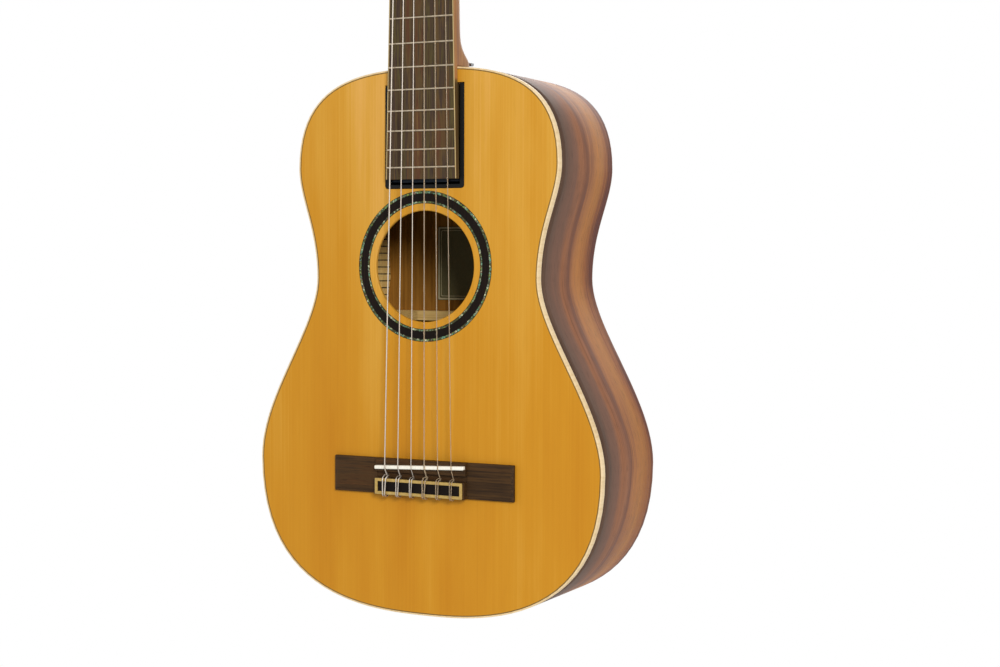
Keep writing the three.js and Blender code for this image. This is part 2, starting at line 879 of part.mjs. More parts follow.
function makeStrapButton() {
  const headSlope = strapButtonHeadHeight / 2;
  const profile = points2([
    [0, 0],
    [strapButtonHeadRadius - headSlope, 0],
    [strapButtonHeadRadius, headSlope],
    [strapButtonHeadRadius, strapButtonHeadHeight],
    [strapButtonWaistRadius, strapButtonHeadHeight + headSlope],
    [strapButtonWaistRadius, strapButtonHeight - strapButtonBaseHeight - headSlope],
    [strapButtonBaseRadius, strapButtonHeight - strapButtonBaseHeight],
    [strapButtonBaseRadius, strapButtonHeight - seam],
    [strapScrewRadius, strapButtonHeight - seam],
    [strapScrewRadius, strapButtonHeight + strapScrewLength],
    [0, strapButtonHeight + strapScrewLength],
  ]);
  return new THREE.LatheGeometry(profile, strapButtonSides).rotateX(Math.PI / 2);
}

// Neck

// A half-round neck section at a height, flat under the fretboard and rounded at the back.
function neckSection(z, half, depth, roundness) {
  return Array.from({ length: neckSectionSteps + 1 }, (_, i) => {
    const angle = (Math.PI * i) / neckSectionSteps;
    const x = half * Math.sign(Math.cos(angle)) * Math.abs(Math.cos(angle)) ** (2 / roundness);
    const y = depth * Math.max(Math.sin(angle), 0) ** (2 / roundness);
    return new THREE.Vector3(i === neckSectionSteps / 2 ? 0 : x, neckTopY + y, z);
  });
}

function makeShaft() {
  const foot = rimTop + seam;
  const head = headRoot.z;
  const crest = foot + heelCrest;
  const heelStations = heelStationShares.map((share) => crest + share * heelReach);
  const rings = [foot, ...heelStations, head].map((z) => {
    const rise = Math.max(z - crest, 0);
    const heel = Math.exp(-((rise / heelReach) ** heelPower));
    const along = (z - foot) / (head - foot);
    const depth = neckDepthAtHeel + (neckDepthAtNut - neckDepthAtHeel) * along + heelExtraDepth * heel;
    const roundness = shaftRoundnessShare + heelRoundnessShare * heel;
    return neckSection(z, boardHalfAt(Math.min(z, nutZ)) - boardOverhang, depth, roundness);
  });
  return loft(rings);
}

function makeTongue() {
  return block(
    [-tongueHalf, tongueHalf],
    [neckTopY, deep(tongueDepth)],
    [up(tongueFoot), rimTop + seam + heelCrest],
  );
}

const headMatrix = new THREE.Matrix4()
  .makeRotationX(-headAngle)
  .setPosition(headRoot);

function headOutline() {
  const neckHalf = boardHalfAt(nutZ) - boardOverhang;
  return points2([
    [-neckHalf, 0],
    [neckHalf, 0],
    [headHalf, headShoulder],
    [headHalf, headLength - headCrest],
    [headHalf / 2, headLength - headCrest / 4],
    [0, headLength],
    [-headHalf / 2, headLength - headCrest / 4],
    [-headHalf, headLength - headCrest],
    [-headHalf, headShoulder],
  ]);
}

// One of the head's two slots, with round ends.
function headSlot(direction, low, high) {
  const middle = (direction * (slotInner + slotOuter)) / 2;
  const radius = (slotOuter - slotInner) / 2;
  const ends = [
    [slotHead - radius, 0],
    [slotFoot + radius, Math.PI],
  ];
  const ring = ends.flatMap(([z, start]) =>
    Array.from({ length: arcSteps + 1 }, (_, i) => {
      const angle = start + (Math.PI * i) / arcSteps;
      return new THREE.Vector2(middle + radius * Math.cos(angle), z + radius * Math.sin(angle));
    }),
  );
  return plate(ring, low, high);
}

function makeHeadBlank() {
  const blank = plate(headOutline(), 0, headThickness);
  const cutters = [-1, 1].flatMap((direction) => {
    const bores = tunerRows.map((row) => {
      const ends = [direction * (slotInner - rollerSeat - runningGap), direction * (headHalf + overrun)];
      return rodAcross(
        rollerRadius + runningGap,
        Math.min(...ends),
        Math.max(...ends),
        rollerDepth,
        rollerAt(row),
        rollerSides,
      );
    });
    return [headSlot(direction, -overrun, headThickness + overrun), ...bores];
  });
  return cut(blank, ...cutters);
}

function makeNeck() {
  const whole = join(makeShaft(), makeTongue(), makeHeadBlank().applyMatrix4(headMatrix));
  const back = deep(tongueDepth + overrun);
  const legSeat = block(
    [-hookHalf - seam, hookHalf + seam],
    [deep(tongueDepth - hookLegThickness - seam), back],
    [up(tongueFoot) - overrun, up(tongueFoot) + hookLegLength + seam],
  );
  const strikeSeat = block(
    [-strikeHalf - seam, strikeHalf + seam],
    [deep(tongueDepth - strikeThickness - seam), deep(tongueDepth) + seam],
    [up(strikeFoot) - seam, up(strikeHead) + seam],
  );
  const cavityHalf = leverHalf + runningGap + seam;
  const cavityFoot = pinZ - leverArm - barbDrop - strikeCavityMargin / 2;
  const strikeRoom = block(
    [-cavityHalf, cavityHalf],
    [deep(tongueDepth - strikeCavityDepth - strikeThickness), deep(tongueDepth) + seam],
    [cavityFoot, up(strikeHead) - seam],
  );
  return cut(whole, legSeat, strikeSeat, strikeRoom);
}

function makeFretboard() {
  const foot = up(boardFoot);
  const low = neckTopY - seam;
  const board = plate(
    points2([
      [-boardHalfAt(foot), foot],
      [boardHalfAt(foot), foot],
      [nutHalfWidth, nutZ],
      [-nutHalfWidth, nutZ],
    ]),
    boardTopY,
    low,
  );
  const frets = Array.from({ length: fretCount }, (_, i) => {
    const z = up(fretHeight(i + 1));
    const half = boardHalfAt(z) - boardOverhang;
    const section = points2([
      [boardTopY + fretCrown, z - fretWidth / 2],
      [boardTopY, z - fretWidth / 2],
      [boardTopY - fretCrown, z - fretWidth / 5],
      [boardTopY - fretCrown, z + fretWidth / 5],
      [boardTopY, z + fretWidth / 2],
      [boardTopY + fretCrown, z + fretWidth / 2],
    ]);
    return barAcross(section, -half, half);
  });
  return join(board, ...frets);
}

function makeNut() {
  const top = boardTopY - stringActionAtNut - nutRise;
  const foot = nutZ + seam;
  const blank = block([-nutHalfWidth, nutHalfWidth], [top, neckTopY - seam], [foot, foot + nutWidth]);
  const slots = stringDiameters.map((diameter, i) => {
    const half = diameter / 2 + stringLay;
    const x = stringNutX(i);
    const floor = boardTopY - stringActionAtNut + half;
    const section = points2([
      [top - overrun, nutZ],
      [floor, nutZ],
      [floor, foot],
      [floor + nutSlotFall, headRoot.z],
      [top - overrun, headRoot.z],
    ]);
    return barAcross(section, x - half, x + half);
  });
  return cut(blank, ...slots);
}

function makeHeadplate() {
  const sheet = plate(headOutline(), -seam - headplateThickness, -seam);
  const slots = [-1, 1].map((direction) => headSlot(direction, -overrun, overrun));
  const nutRoom = block([-headHalf, headHalf], [-overrun, overrun], [-overrun, headplateSetback]);
  return cut(sheet, nutRoom, ...slots);
}

// Hook plate: a slotted jaw over the bar and a leg let into the tongue; the section is (y, z).
function makeNeckHook() {
  const y = deep(hookBarDepth);
  const z = up(hookBarHeight);
  const inner = hookBarRadius + runningGap;
  const front = y - hookJaw;
  const back = deep(tongueDepth);
  const legFront = back - hookLegThickness;
  const head = up(tongueFoot) - seam;
  const mouth = Array.from({ length: arcSteps + 1 }, (_, i) => {
    const angle = (Math.PI * i) / arcSteps;
    return [y + inner * Math.cos(angle), z + inner * Math.sin(angle)];
  });
  const section = points2([
    [y + inner, z - hookTip],
    ...mouth,
    [y - inner, z - hookTip],
    [front, z - hookTip],
    [front, head],
    [legFront, head],
    [legFront, up(tongueFoot) + hookLegLength],
    [back, up(tongueFoot) + hookLegLength],
    [back, z - hookTip],
  ]);
  return barAcross(section, -hookHalf, hookHalf);
}

function makeStrikePlate() {
  const half = leverHalf + runningGap;
  const low = deep(tongueDepth - strikeThickness);
  const ring = (side, foot, head) =>
    points2([
      [-side, foot],
      [side, foot],
      [side, head],
      [-side, head],
    ]);
  return plate(
    ring(strikeHalf, up(strikeFoot), up(strikeHead)),
    low,
    deep(tongueDepth),
    ring(half, pinZ - leverArm - runningGap, up(strikeHead) - strikeThickness),
  );
}

// Tuning machines, in the head's own frame: y runs from its face to its back and z along it.

function makeTunerPlate(direction) {
  const foot = rollerAt(0) - tunerPlateMargin;
  const head = rollerAt(2) + wormOffset + tunerPlateMargin / 2;
  const [inner, outer] = [headHalf + seam, tunerPlateOuter];
  const ends = (low, high) => (direction > 0 ? [low, high] : [-high, -low]);
  const sheet = block(
    ends(inner, outer),
    [rollerDepth - tunerPlateHalf, rollerDepth + tunerPlateHalf],
    [foot, head],
  );
  const lugFoot = wormHalfLength + seam;
  const lugs = tunerRows.flatMap((row) =>
    [-1, 1].map((side) => {
      const span = [side * lugFoot, side * (lugFoot + lugThickness)].sort((a, b) => a - b);
      const middle = rollerAt(row) + wormOffset;
      return block(
        ends(outer - seam, wormX + lugReach),
        [rollerDepth + span[0], rollerDepth + span[1]],
        [middle - lugHalf, middle + lugHalf],
      );
    }),
  );
  const spindleHoles = tunerRows.map((row) =>
    rodAcross(
      spindleRadius + runningGap,
      ...ends(inner - overrun, outer + overrun),
      rollerDepth,
      rollerAt(row),
      spindleSides,
    ),
  );
  const shaftHoles = tunerRows.map((row) =>
    rodDeep(
      shaftRadius + runningGap,
      rollerDepth - lugFoot - lugThickness - overrun,
      rollerDepth + lugFoot + lugThickness + overrun,
      direction * wormX,
      rollerAt(row) + wormOffset,
      spindleSides,
    ),
  );
  return cut(join(sheet, ...lugs), ...spindleHoles, ...shaftHoles);
}

// The gear's outline, with a gap between two teeth facing the worm.
function gearOutline() {
  const step = (2 * Math.PI) / gearTeeth;
  return Array.from({ length: gearTeeth }, (_, i) => {
    const middle = Math.PI / 2 + (i + 0.5) * step;
    const root = toothRootWidth / 2 / gearRootRadius;
    const tip = toothTipWidth / 2 / gearTipRadius;
    return [
      [gearRootRadius, middle - root],
      [gearTipRadius, middle - tip],
      [gearTipRadius, middle + tip],
      [gearRootRadius, middle + root],
    ].map(([radius, angle]) => [radius * Math.cos(angle), radius * Math.sin(angle)]);
  }).flat();
}

// Roller with its spindle and gear, and a hole across it for the string's end.
function makeRoller(direction, row, stringIndex) {
  const y = rollerDepth;
  const z = rollerAt(row);
  const ends = (low, high) => (direction > 0 ? [low, high] : [-high, -low]);
  const barrel = rodAcross(rollerRadius, ...ends(slotInner - rollerSeat, headHalf), y, z, rollerSides);
  const spindle = rodAcross(
    spindleRadius,
    ...ends(headHalf - overrun, wormX + gearThickness / 2 + lugReach / 2),
    y,
    z,
    spindleSides,
  );
  const teeth = gearOutline().map(([a, b]) => new THREE.Vector2(y + a, z + b));
  const gear = barAcross(teeth, ...ends(wormX - gearThickness / 2, wormX + gearThickness / 2));
  const endX = direction * windingEnd(stringIndex, row);
  const hole = rodDeep(
    stringDiameters[stringIndex] / 2 + 2 * stringLay,
    y - rollerRadius - overrun,
    y + rollerRadius / 2,
    endX,
    z,
    stringHoleSides,
  );
  return cut(join(barrel, spindle, gear), hole);
}

// Worm shaft: a plain shaft with one right-handed thread, facing a gap of the gear at its middle.
function makeWormShaft(direction, row) {
  const x = direction * wormX;
  const z = rollerAt(row) + wormOffset;
  const threadHalf = wormHalfLength - wormPitch / wormStepsPerPitch;
  const axialSteps = Math.round((2 * threadHalf * wormStepsPerPitch) / wormPitch);
  const radiusAt = (angle, along) => {
    const turn = (angle + Math.PI / 2) / (2 * Math.PI) + along / wormPitch;
    const offset = Math.abs(turn - Math.round(turn)) * wormPitch;
    const flank = (wormThreadRoot - wormThreadTip) / 2;
    const rise = THREE.MathUtils.clamp((wormThreadRoot / 2 - offset) / flank, 0, 1);
    return wormCoreRadius + rise * (wormTipRadius - wormCoreRadius);
  };
  const ringAt = (along, radius) =>
    Array.from({ length: wormSides }, (_, i) => {
      const angle = (2 * Math.PI * i) / wormSides;
      const reach = radius ?? radiusAt(angle, along);
      const side = x + reach * Math.cos(angle);
      return new THREE.Vector3(side, rollerDepth + along, z + reach * Math.sin(angle));
    });
  const threaded = Array.from({ length: axialSteps + 1 }, (_, i) =>
    ringAt((i / axialSteps - 0.5) * 2 * threadHalf),
  );
  const front = -wormHalfLength - lugThickness - seam - shaftTail;
  const rear = headThickness + buttonGap + buttonSocketDepth - rollerDepth;
  const rings = [
    ringAt(front, shaftRadius),
    ringAt(-wormHalfLength, shaftRadius),
    ...threaded,
    ringAt(wormHalfLength, shaftRadius),
    ringAt(rear, shaftRadius),
  ];
  return loft(rings.map((ring) => [...ring].reverse()));
}

// Button: an oval grip, waisted towards its shaft, with a socket for the shaft's end.
function makeButton(direction, row) {
  const x = direction * wormX;
  const z = rollerAt(row) + wormOffset;
  const foot = headThickness + buttonGap;
  const widthShares = [0.36, 0.62, 0.9, 1, 0.9, 0.55];
  const alongShares = [0, 0.14, 0.34, 0.6, 0.86, 1];
  const thickShares = [0.7, 0.8, 0.95, 1, 0.92, 0.6];
  const rings = widthShares.map((width, k) =>
    Array.from({ length: buttonSides }, (_, i) => {
      const angle = (-2 * Math.PI * i) / buttonSides;
      return new THREE.Vector3(
        x + (buttonThickness / 2) * thickShares[k] * Math.cos(angle),
        foot + alongShares[k] * buttonLength,
        z + buttonHalfWidth * width * Math.sin(angle),
      );
    }),
  );
  const bottom = foot + buttonSocketDepth + seam;
  const socket = rodDeep(shaftRadius + seam, foot - overrun, bottom, x, z, spindleSides);
  return cut(loft(rings), socket);
}

// Strings

// A path that passes straight between its own points, so that a tube has one ring at each of them.
class StringPath extends THREE.Curve {
  constructor(places) {
    super();
    this.places = places;
  }

  getPoint(t, target = new THREE.Vector3()) {
    const spot = THREE.MathUtils.clamp(t, 0, 1) * (this.places.length - 1);
    const low = Math.min(Math.floor(spot), this.places.length - 2);
    return target.lerpVectors(this.places[low], this.places[low + 1], spot - low);
  }

  getPointAt(u, target) {
    return this.getPoint(u, target);
  }

  getTangentAt(u, target = new THREE.Vector3()) {
    const spot = Math.round(u * (this.places.length - 1));
    const before = this.places[Math.max(spot - 1, 0)];
    const here = this.places[spot];
    const after = this.places[Math.min(spot + 1, this.places.length - 1)];
    const into = here.clone().sub(before).normalize();
    return target.copy(after).sub(here).normalize().add(into).normalize();
  }
}

const windingPitch = (diameter) => diameter + stringSelfGap;
const windingEnd = (i, row) => windingStarts[row] + windingTurns * windingPitch(stringDiameters[i]);

// The tie at the bridge, from the string's loose end to its hole.
// Each knot is its offset across, its height above the soundboard and its place up the body.
function tiePlaces(x, diameter, mainSlope) {
  const foot = up(bridgeBottom);
  const edge = foot + tieBlockWidth;
  const apart = diameter + stringSelfGap;
  const off = diameter / 2 + 2 * stringLay;
  const top = tieBlockThickness + tieTrimThickness;
  const over = top + diameter / 2 + stringLay;
  const turnZ = edge + off + apart;
  const under = stringHoleHeight + (turnZ - edge) * mainSlope - 1.25 * apart;
  const knots = [
    [-1.2 * apart, top - 2 * apart, foot - off - apart / 4],
    [-1.25 * apart, top - apart / 4, foot - off],
    [-1.3 * apart, over, foot + off / 2],
    [-1.35 * apart, over + diameter / 8, foot + tieBlockWidth / 2],
    [-1.35 * apart, over, edge - off / 2],
    [-1.3 * apart, top - apart / 4, edge + off],
    [-1.3 * apart, (top + under) / 2, turnZ],
    [0, under, turnZ + apart / 4],
    [1.3 * apart, (top + under) / 2, turnZ],
    [1.25 * apart, top - apart / 4, edge + off],
    [0.9 * apart, over, edge - off / 2],
    [0.5 * apart, over + diameter / 8, foot + tieBlockWidth / 2],
    [0.15 * apart, over, foot + off / 2],
    [0, top - apart / 2, foot - off],
    [0, (top + stringHoleHeight) / 2, foot - off - apart / 2],
    [0, stringHoleHeight + apart / 4, foot - off - apart / 4],
    [0, stringHoleHeight, foot],
  ].map(([side, height, z]) => new THREE.Vector3(x + side, deep(-height), z));
  const curve = new THREE.CatmullRomCurve3(knots, false, "centripetal");
  return curve.getPoints(2 * (knots.length - 1));
}

function stringPlaces(i) {
  const diameter = stringDiameters[i];
  const row = rowOf(i);
  const direction = sideOf(i);
  const saddleX = stringSaddleX(i);
  const crestY = deep(-saddleTop - diameter / 2 - stringLay);
  const crests = [-1, 1].map(
    (side) => new THREE.Vector3(saddleX, crestY, saddleZ(saddleX) + (side * saddleThickness) / 2),
  );
  const holeMouth = up(bridgeBottom) + tieBlockWidth;
  const mainSlope = (deep(-stringHoleHeight) - crestY) / (crests[0].z - holeMouth);
  const nutCrest = new THREE.Vector3(
    stringNutX(i),
    boardTopY - stringActionAtNut,
    nutZ + seam + nutWidth * nutCrestShare,
  );
  const reach = rollerRadius + stringLay + diameter / 2;
  const startX = direction * windingStarts[row];
  const stepCount = windingTurns * windingSteps;
  const winding = Array.from({ length: stepCount + 1 }, (_, k) => {
    const angle = (2 * Math.PI * k) / windingSteps;
    return new THREE.Vector3(
      startX + (direction * windingPitch(diameter) * k) / windingSteps,
      rollerDepth - reach * Math.cos(angle),
      rollerAt(row) + reach * Math.sin(angle),
    );
  });
  const endX = direction * windingEnd(i, row);
  winding.pop();
  const into = [reach - diameter / 3, reach - diameter, rollerRadius / 3].map(
    (radius) => new THREE.Vector3(endX, rollerDepth - radius, rollerAt(row)),
  );
  const atHead = [...winding, ...into].map((place) => place.applyMatrix4(headMatrix));
  return [
    ...tiePlaces(saddleX, diameter, mainSlope),
    new THREE.Vector3(saddleX, deep(-stringHoleHeight), holeMouth),
    ...crests,
    nutCrest,
    ...atHead,
  ];
}

// The least distance between parts of a string's surface that lie over four diameters apart along it.
function selfGap(places, diameter) {
  const along = [0];
  for (let i = 1; i < places.length; i += 1) {
    along.push(along[i - 1] + places[i].distanceTo(places[i - 1]));
  }
  const nearest = new THREE.Vector3();
  let least = Infinity;
  for (let i = 0; i < places.length; i += 1) {
    for (let j = 0; j < places.length - 1; j += 1) {
      const span = Math.min(Math.abs(along[i] - along[j]), Math.abs(along[i] - along[j + 1]));
      if (j < i + 1 && j + 1 > i - 1) continue;
      if (span < 4 * diameter) continue;
      new THREE.Line3(places[j], places[j + 1]).closestPointToPoint(places[i], true, nearest);
      least = Math.min(least, nearest.distanceTo(places[i]) - diameter);
    }
  }
  return least;
}

function makeString(i) {
  const places = stringPlaces(i);
  const diameter = stringDiameters[i];
  console.log(`string_${i + 1} clears itself by ${selfGap(places, diameter).toFixed(2)} mm`);
  const section = new THREE.Shape(circle(diameter / 2, 0, 0, stringSides));
  return new THREE.ExtrudeGeometry(section, {
    extrudePath: new StringPath(places),
    steps: places.length - 1,
    bevelEnabled: false,
  });
}

// Assembly

const guitar = new THREE.Group();
const head = new THREE.Group();
head.position.copy(headRoot);
head.rotation.x = -headAngle;
guitar.add(head);

function place(group, name, geometry, material) {
  const mesh = new THREE.Mesh(geometry, material);
  mesh.name = name;
  group.add(mesh);
}

const frontLiningEnd = underTop + liningHeight;
const backLiningStart = overBack - liningHeight;
const bandInner = rosetteInnerRadius + innerRingWidth + seam;
const outerRingInner = bandInner + rosetteBandWidth + seam;

place(guitar, "soundboard", makeSoundboard(), cedar);
place(guitar, "rosette_inner_ring", makeRosetteRing(rosetteInnerRadius, innerRingWidth), shell);
place(guitar, "rosette_band", makeRosetteRing(bandInner, rosetteBandWidth), ebony);
place(guitar, "rosette_outer_ring", makeRosetteRing(outerRingInner, outerRingWidth), shell);
place(guitar, "binding", makeBinding(), maple);
place(guitar, "bass_side", makeSide(-1), rosewoodSide);
place(guitar, "treble_side", makeSide(1), rosewoodSide);
place(guitar, "back", makeBack(), rosewoodSide);
place(guitar, "front_lining", makeLining(underTop, frontLiningEnd), spruce);
place(guitar, "back_lining", makeLining(backLiningStart, overBack), spruce);
place(guitar, "neck_block", makeNeckBlock(), mahogany);
place(guitar, "tail_block", makeTailBlock(frontLiningEnd, backLiningStart), mahogany);
place(guitar, "upper_brace", makeBrace(upperBraceHeight, underTop, topBraceDepth), spruce);
place(guitar, "fan_bracing", makeFanBracing(), spruce);
for (const [name, height] of Object.entries(backBraceHeights)) {
  place(guitar, `back_brace_${name}`, makeBrace(height, overBack, -backBraceDepth), spruce);
}
place(guitar, "bridge_plate", makeBridgePlate(), rosewood);
place(guitar, "label", makeLabel(), paper);
place(guitar, "bridge", makeBridge(), rosewood);
place(
  guitar,
  "saddle",
  saddleForm(saddleLength / 2, saddleThickness / 2, saddleSlotFloor + seam, saddleTop),
  bone,
);
place(guitar, "tie_block_trim", makeTieTrim(), boneTrim);
place(guitar, "pocket_frame", makePocketFrame(), blackPlastic);
place(guitar, "hook_bar", makeHookBar(), steel);
place(guitar, "latch_lever", makeLatchLever(), steel);
place(guitar, "latch_pin", makeLatchPin(), steel);
place(guitar, "strap_button", makeStrapButton(), nickel);
place(guitar, "neck", makeNeck(), mahogany);
place(guitar, "fretboard", makeFretboard(), rosewood);
place(guitar, "nut", makeNut(), bone);
place(head, "headplate", makeHeadplate(), rosewood);
place(guitar, "neck_hook", makeNeckHook(), steel);
place(guitar, "strike_plate", makeStrikePlate(), steel);
place(head, "treble_tuner_plate", makeTunerPlate(1), nickel);
place(head, "bass_tuner_plate", makeTunerPlate(-1), nickel);
for (let i = 0; i < stringDiameters.length; i += 1) {
  place(head, `roller_${i + 1}`, makeRoller(sideOf(i), rowOf(i), i), bone);
  place(head, `worm_shaft_${i + 1}`, makeWormShaft(sideOf(i), rowOf(i)), nickel);
  place(head, `button_${i + 1}`, makeButton(sideOf(i), rowOf(i)), pearl);
  place(guitar, `string_${i + 1}`, makeString(i), isTreble(i) ? nylon : silverWound);
}

export default guitar;
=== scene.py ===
"""Looks of a travel guitar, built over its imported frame.

The guitar is a small nylon-string instrument. Its neck hooks over a bar in a black pocket of the
body, swings forward on it and is held by a sprung thumb latch behind the heel.

Sizes are millimetres in the frame's axes: +Z runs from tail to head, the soundboard faces -Y and
the bass side is at -X. A shape is built in millimetres and turned to metres when it is handed over.
"""

import logging
import math
from dataclasses import dataclass, field
from enum import Enum
from typing import Callable, Iterable, Mapping, Sequence

import bmesh
import bpy
from bmesh.types import BMEdge, BMesh, BMFace, BMVert
from mathutils import Matrix, Vector
from mathutils.geometry import interpolate_bezier


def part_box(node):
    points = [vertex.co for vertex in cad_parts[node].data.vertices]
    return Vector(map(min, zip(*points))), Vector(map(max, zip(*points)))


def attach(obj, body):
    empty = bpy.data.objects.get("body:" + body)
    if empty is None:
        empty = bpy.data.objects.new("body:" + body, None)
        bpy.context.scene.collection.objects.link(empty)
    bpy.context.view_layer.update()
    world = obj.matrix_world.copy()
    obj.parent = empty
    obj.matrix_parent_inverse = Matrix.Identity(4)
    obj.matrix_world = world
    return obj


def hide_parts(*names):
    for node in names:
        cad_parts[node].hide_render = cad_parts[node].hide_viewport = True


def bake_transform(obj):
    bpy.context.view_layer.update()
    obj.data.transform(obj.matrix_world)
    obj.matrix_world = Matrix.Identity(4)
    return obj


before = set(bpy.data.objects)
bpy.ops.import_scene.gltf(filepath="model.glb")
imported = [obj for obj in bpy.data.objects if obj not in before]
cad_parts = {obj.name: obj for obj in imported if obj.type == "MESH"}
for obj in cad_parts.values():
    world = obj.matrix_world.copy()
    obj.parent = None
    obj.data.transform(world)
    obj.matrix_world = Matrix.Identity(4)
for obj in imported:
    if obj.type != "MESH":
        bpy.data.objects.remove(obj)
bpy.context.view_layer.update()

log = logging.getLogger("travel_guitar")

MM = 0.001
FULL_TURN = 2 * math.pi
# Faces that meet at more than this keep a hard edge.
SHARP_ANGLE = math.radians(40)
# A corner this near a cutting plane lies on it.
CUT_SLACK = 0.0001
# How far a cutter reaches beyond what it cuts.
BEYOND = 9.0

Tree = bpy.types.NodeTree
Node = bpy.types.Node
Socket = bpy.types.NodeSocket
Point = Sequence[float]
Stops = tuple[tuple[float, str], ...]
Profile = tuple[tuple[float, float], ...]


# Colours and nodes


def linear(colour: str) -> tuple[float, float, float, float]:
    """Turns an sRGB hex colour to linear light.

    Args:
        colour: Colour as "#rrggbb".

    Returns:
        Red, green, blue and an alpha of 1.
    """
    parts = [int(colour[i : i + 2], 16) / 255 for i in (1, 3, 5)]
    light = [c / 12.92 if c <= 0.04045 else ((c + 0.055) / 1.055) ** 2.4 for c in parts]
    return (light[0], light[1], light[2], 1.0)


def add_node(
    tree: Tree,
    kind: str,
    settings: Mapping[str | int, object] | None = None,
    links: Mapping[str | int, Socket] | None = None,
    stops: Stops = (),
) -> Node:
    """Adds a node with its settings, its links and its colour stops.

    Args:
        tree: Node tree that takes the node.
        kind: Shader node type, without its ShaderNode prefix.
        settings: Values of inputs and of properties, by name or input number.
        links: Sockets that feed the node's inputs, by name or input number.
        stops: Places and hex colours of a colour ramp, in rising order.

    Returns:
        The new node.
    """
    node = tree.nodes.new("ShaderNode" + kind)
    for key, value in (settings or {}).items():
        if isinstance(key, int) or key in node.inputs:
            node.inputs[key].default_value = value
        else:
            setattr(node, key, value)
    for key, socket in (links or {}).items():
        tree.links.new(socket, node.inputs[key])
    if stops:
        ramp = node.color_ramp.elements
        while len(ramp) < len(stops):
            ramp.new(1.0)
        for element, (place, colour) in zip(ramp, stops):
            element.position = place
            element.color = linear(colour)
    return node


# Finishes


@dataclass(frozen=True)
class Finish:
    """A surface as its maker left it.

    Attributes:
        name: The material's name, after the real stuff.
        roughness: Mean roughness.
        spread: How far the roughness strays from its mean.
        coat: Weight of a clear lacquer coat.
        coat_roughness: The coat's roughness.
        specular: How strongly it mirrors, where 0.5 is a plain polished surface.
        bump_mm: Height of the surface's relief.
    """

    name: str
    roughness: float = 0.5
    spread: float = 0.06
    coat: float = 0.0
    coat_roughness: float = 0.12
    specular: float = 0.5
    bump_mm: float = 0.03

    def material(self) -> bpy.types.Material:
        """Makes the finish's material once.

        Returns:
            The material.
        """
        known = bpy.data.materials.get(self.name)
        if known is not None:
            return known
        material = bpy.data.materials.new(self.name)
        material.use_nodes = True
        tree = material.node_tree
        tree.nodes.clear()
        settings = {
            "Coat Weight": self.coat,
            "Coat Roughness": self.coat_roughness,
            "Specular IOR Level": self.specular,
        }
        shader = add_node(tree, "BsdfPrincipled", settings)
        add_node(tree, "OutputMaterial", links={"Surface": shader.outputs[0]})
        self.paint(tree, shader)
        return material

    def paint(self, tree: Tree, shader: Node) -> None:
        """Draws the finish's colour and relief on the shader."""
        raise NotImplementedError

    def relieve(self, tree: Tree, shader: Node, colour: Socket, relief: Socket) -> None:
        """Links a colour, and a relief that also varies the roughness.

        Args:
            tree: The material's node tree.
            shader: Its shader.
            colour: Socket with the colour.
            relief: Socket with the relief, from 0 to 1.
        """
        low, high = self.roughness - self.spread, self.roughness + self.spread
        sheen = add_node(tree, "MapRange", {"To Min": low, "To Max": high}, {"Value": relief})
        settings = {"Strength": 1.0, "Distance": self.bump_mm * MM}
        bump = add_node(tree, "Bump", settings, {"Height": relief})
        tree.links.new(colour, shader.inputs["Base Color"])
        tree.links.new(sheen.outputs[0], shader.inputs["Roughness"])
        tree.links.new(bump.outputs[0], shader.inputs["Normal"])


class Grain(Enum):
    """Which way a board's fibres run."""

    UPRIGHT = "z"
    ACROSS = "x"
    DEEP = "y"

    def scales(self, across_mm: float, along_mm: float) -> tuple[float, float, float]:
        """Works out a pattern's scale per metre on each axis.

        Args:
            across_mm: Width of a fibre or streak.
            along_mm: Its length.

        Returns:
            The scale on X, Y and Z.
        """
        fine, long = 1000 / across_mm, 1000 / along_mm
        return {
            Grain.UPRIGHT: (fine, fine, long),
            Grain.ACROSS: (long, fine, fine),
            Grain.DEEP: (fine, long, fine),
        }[self]


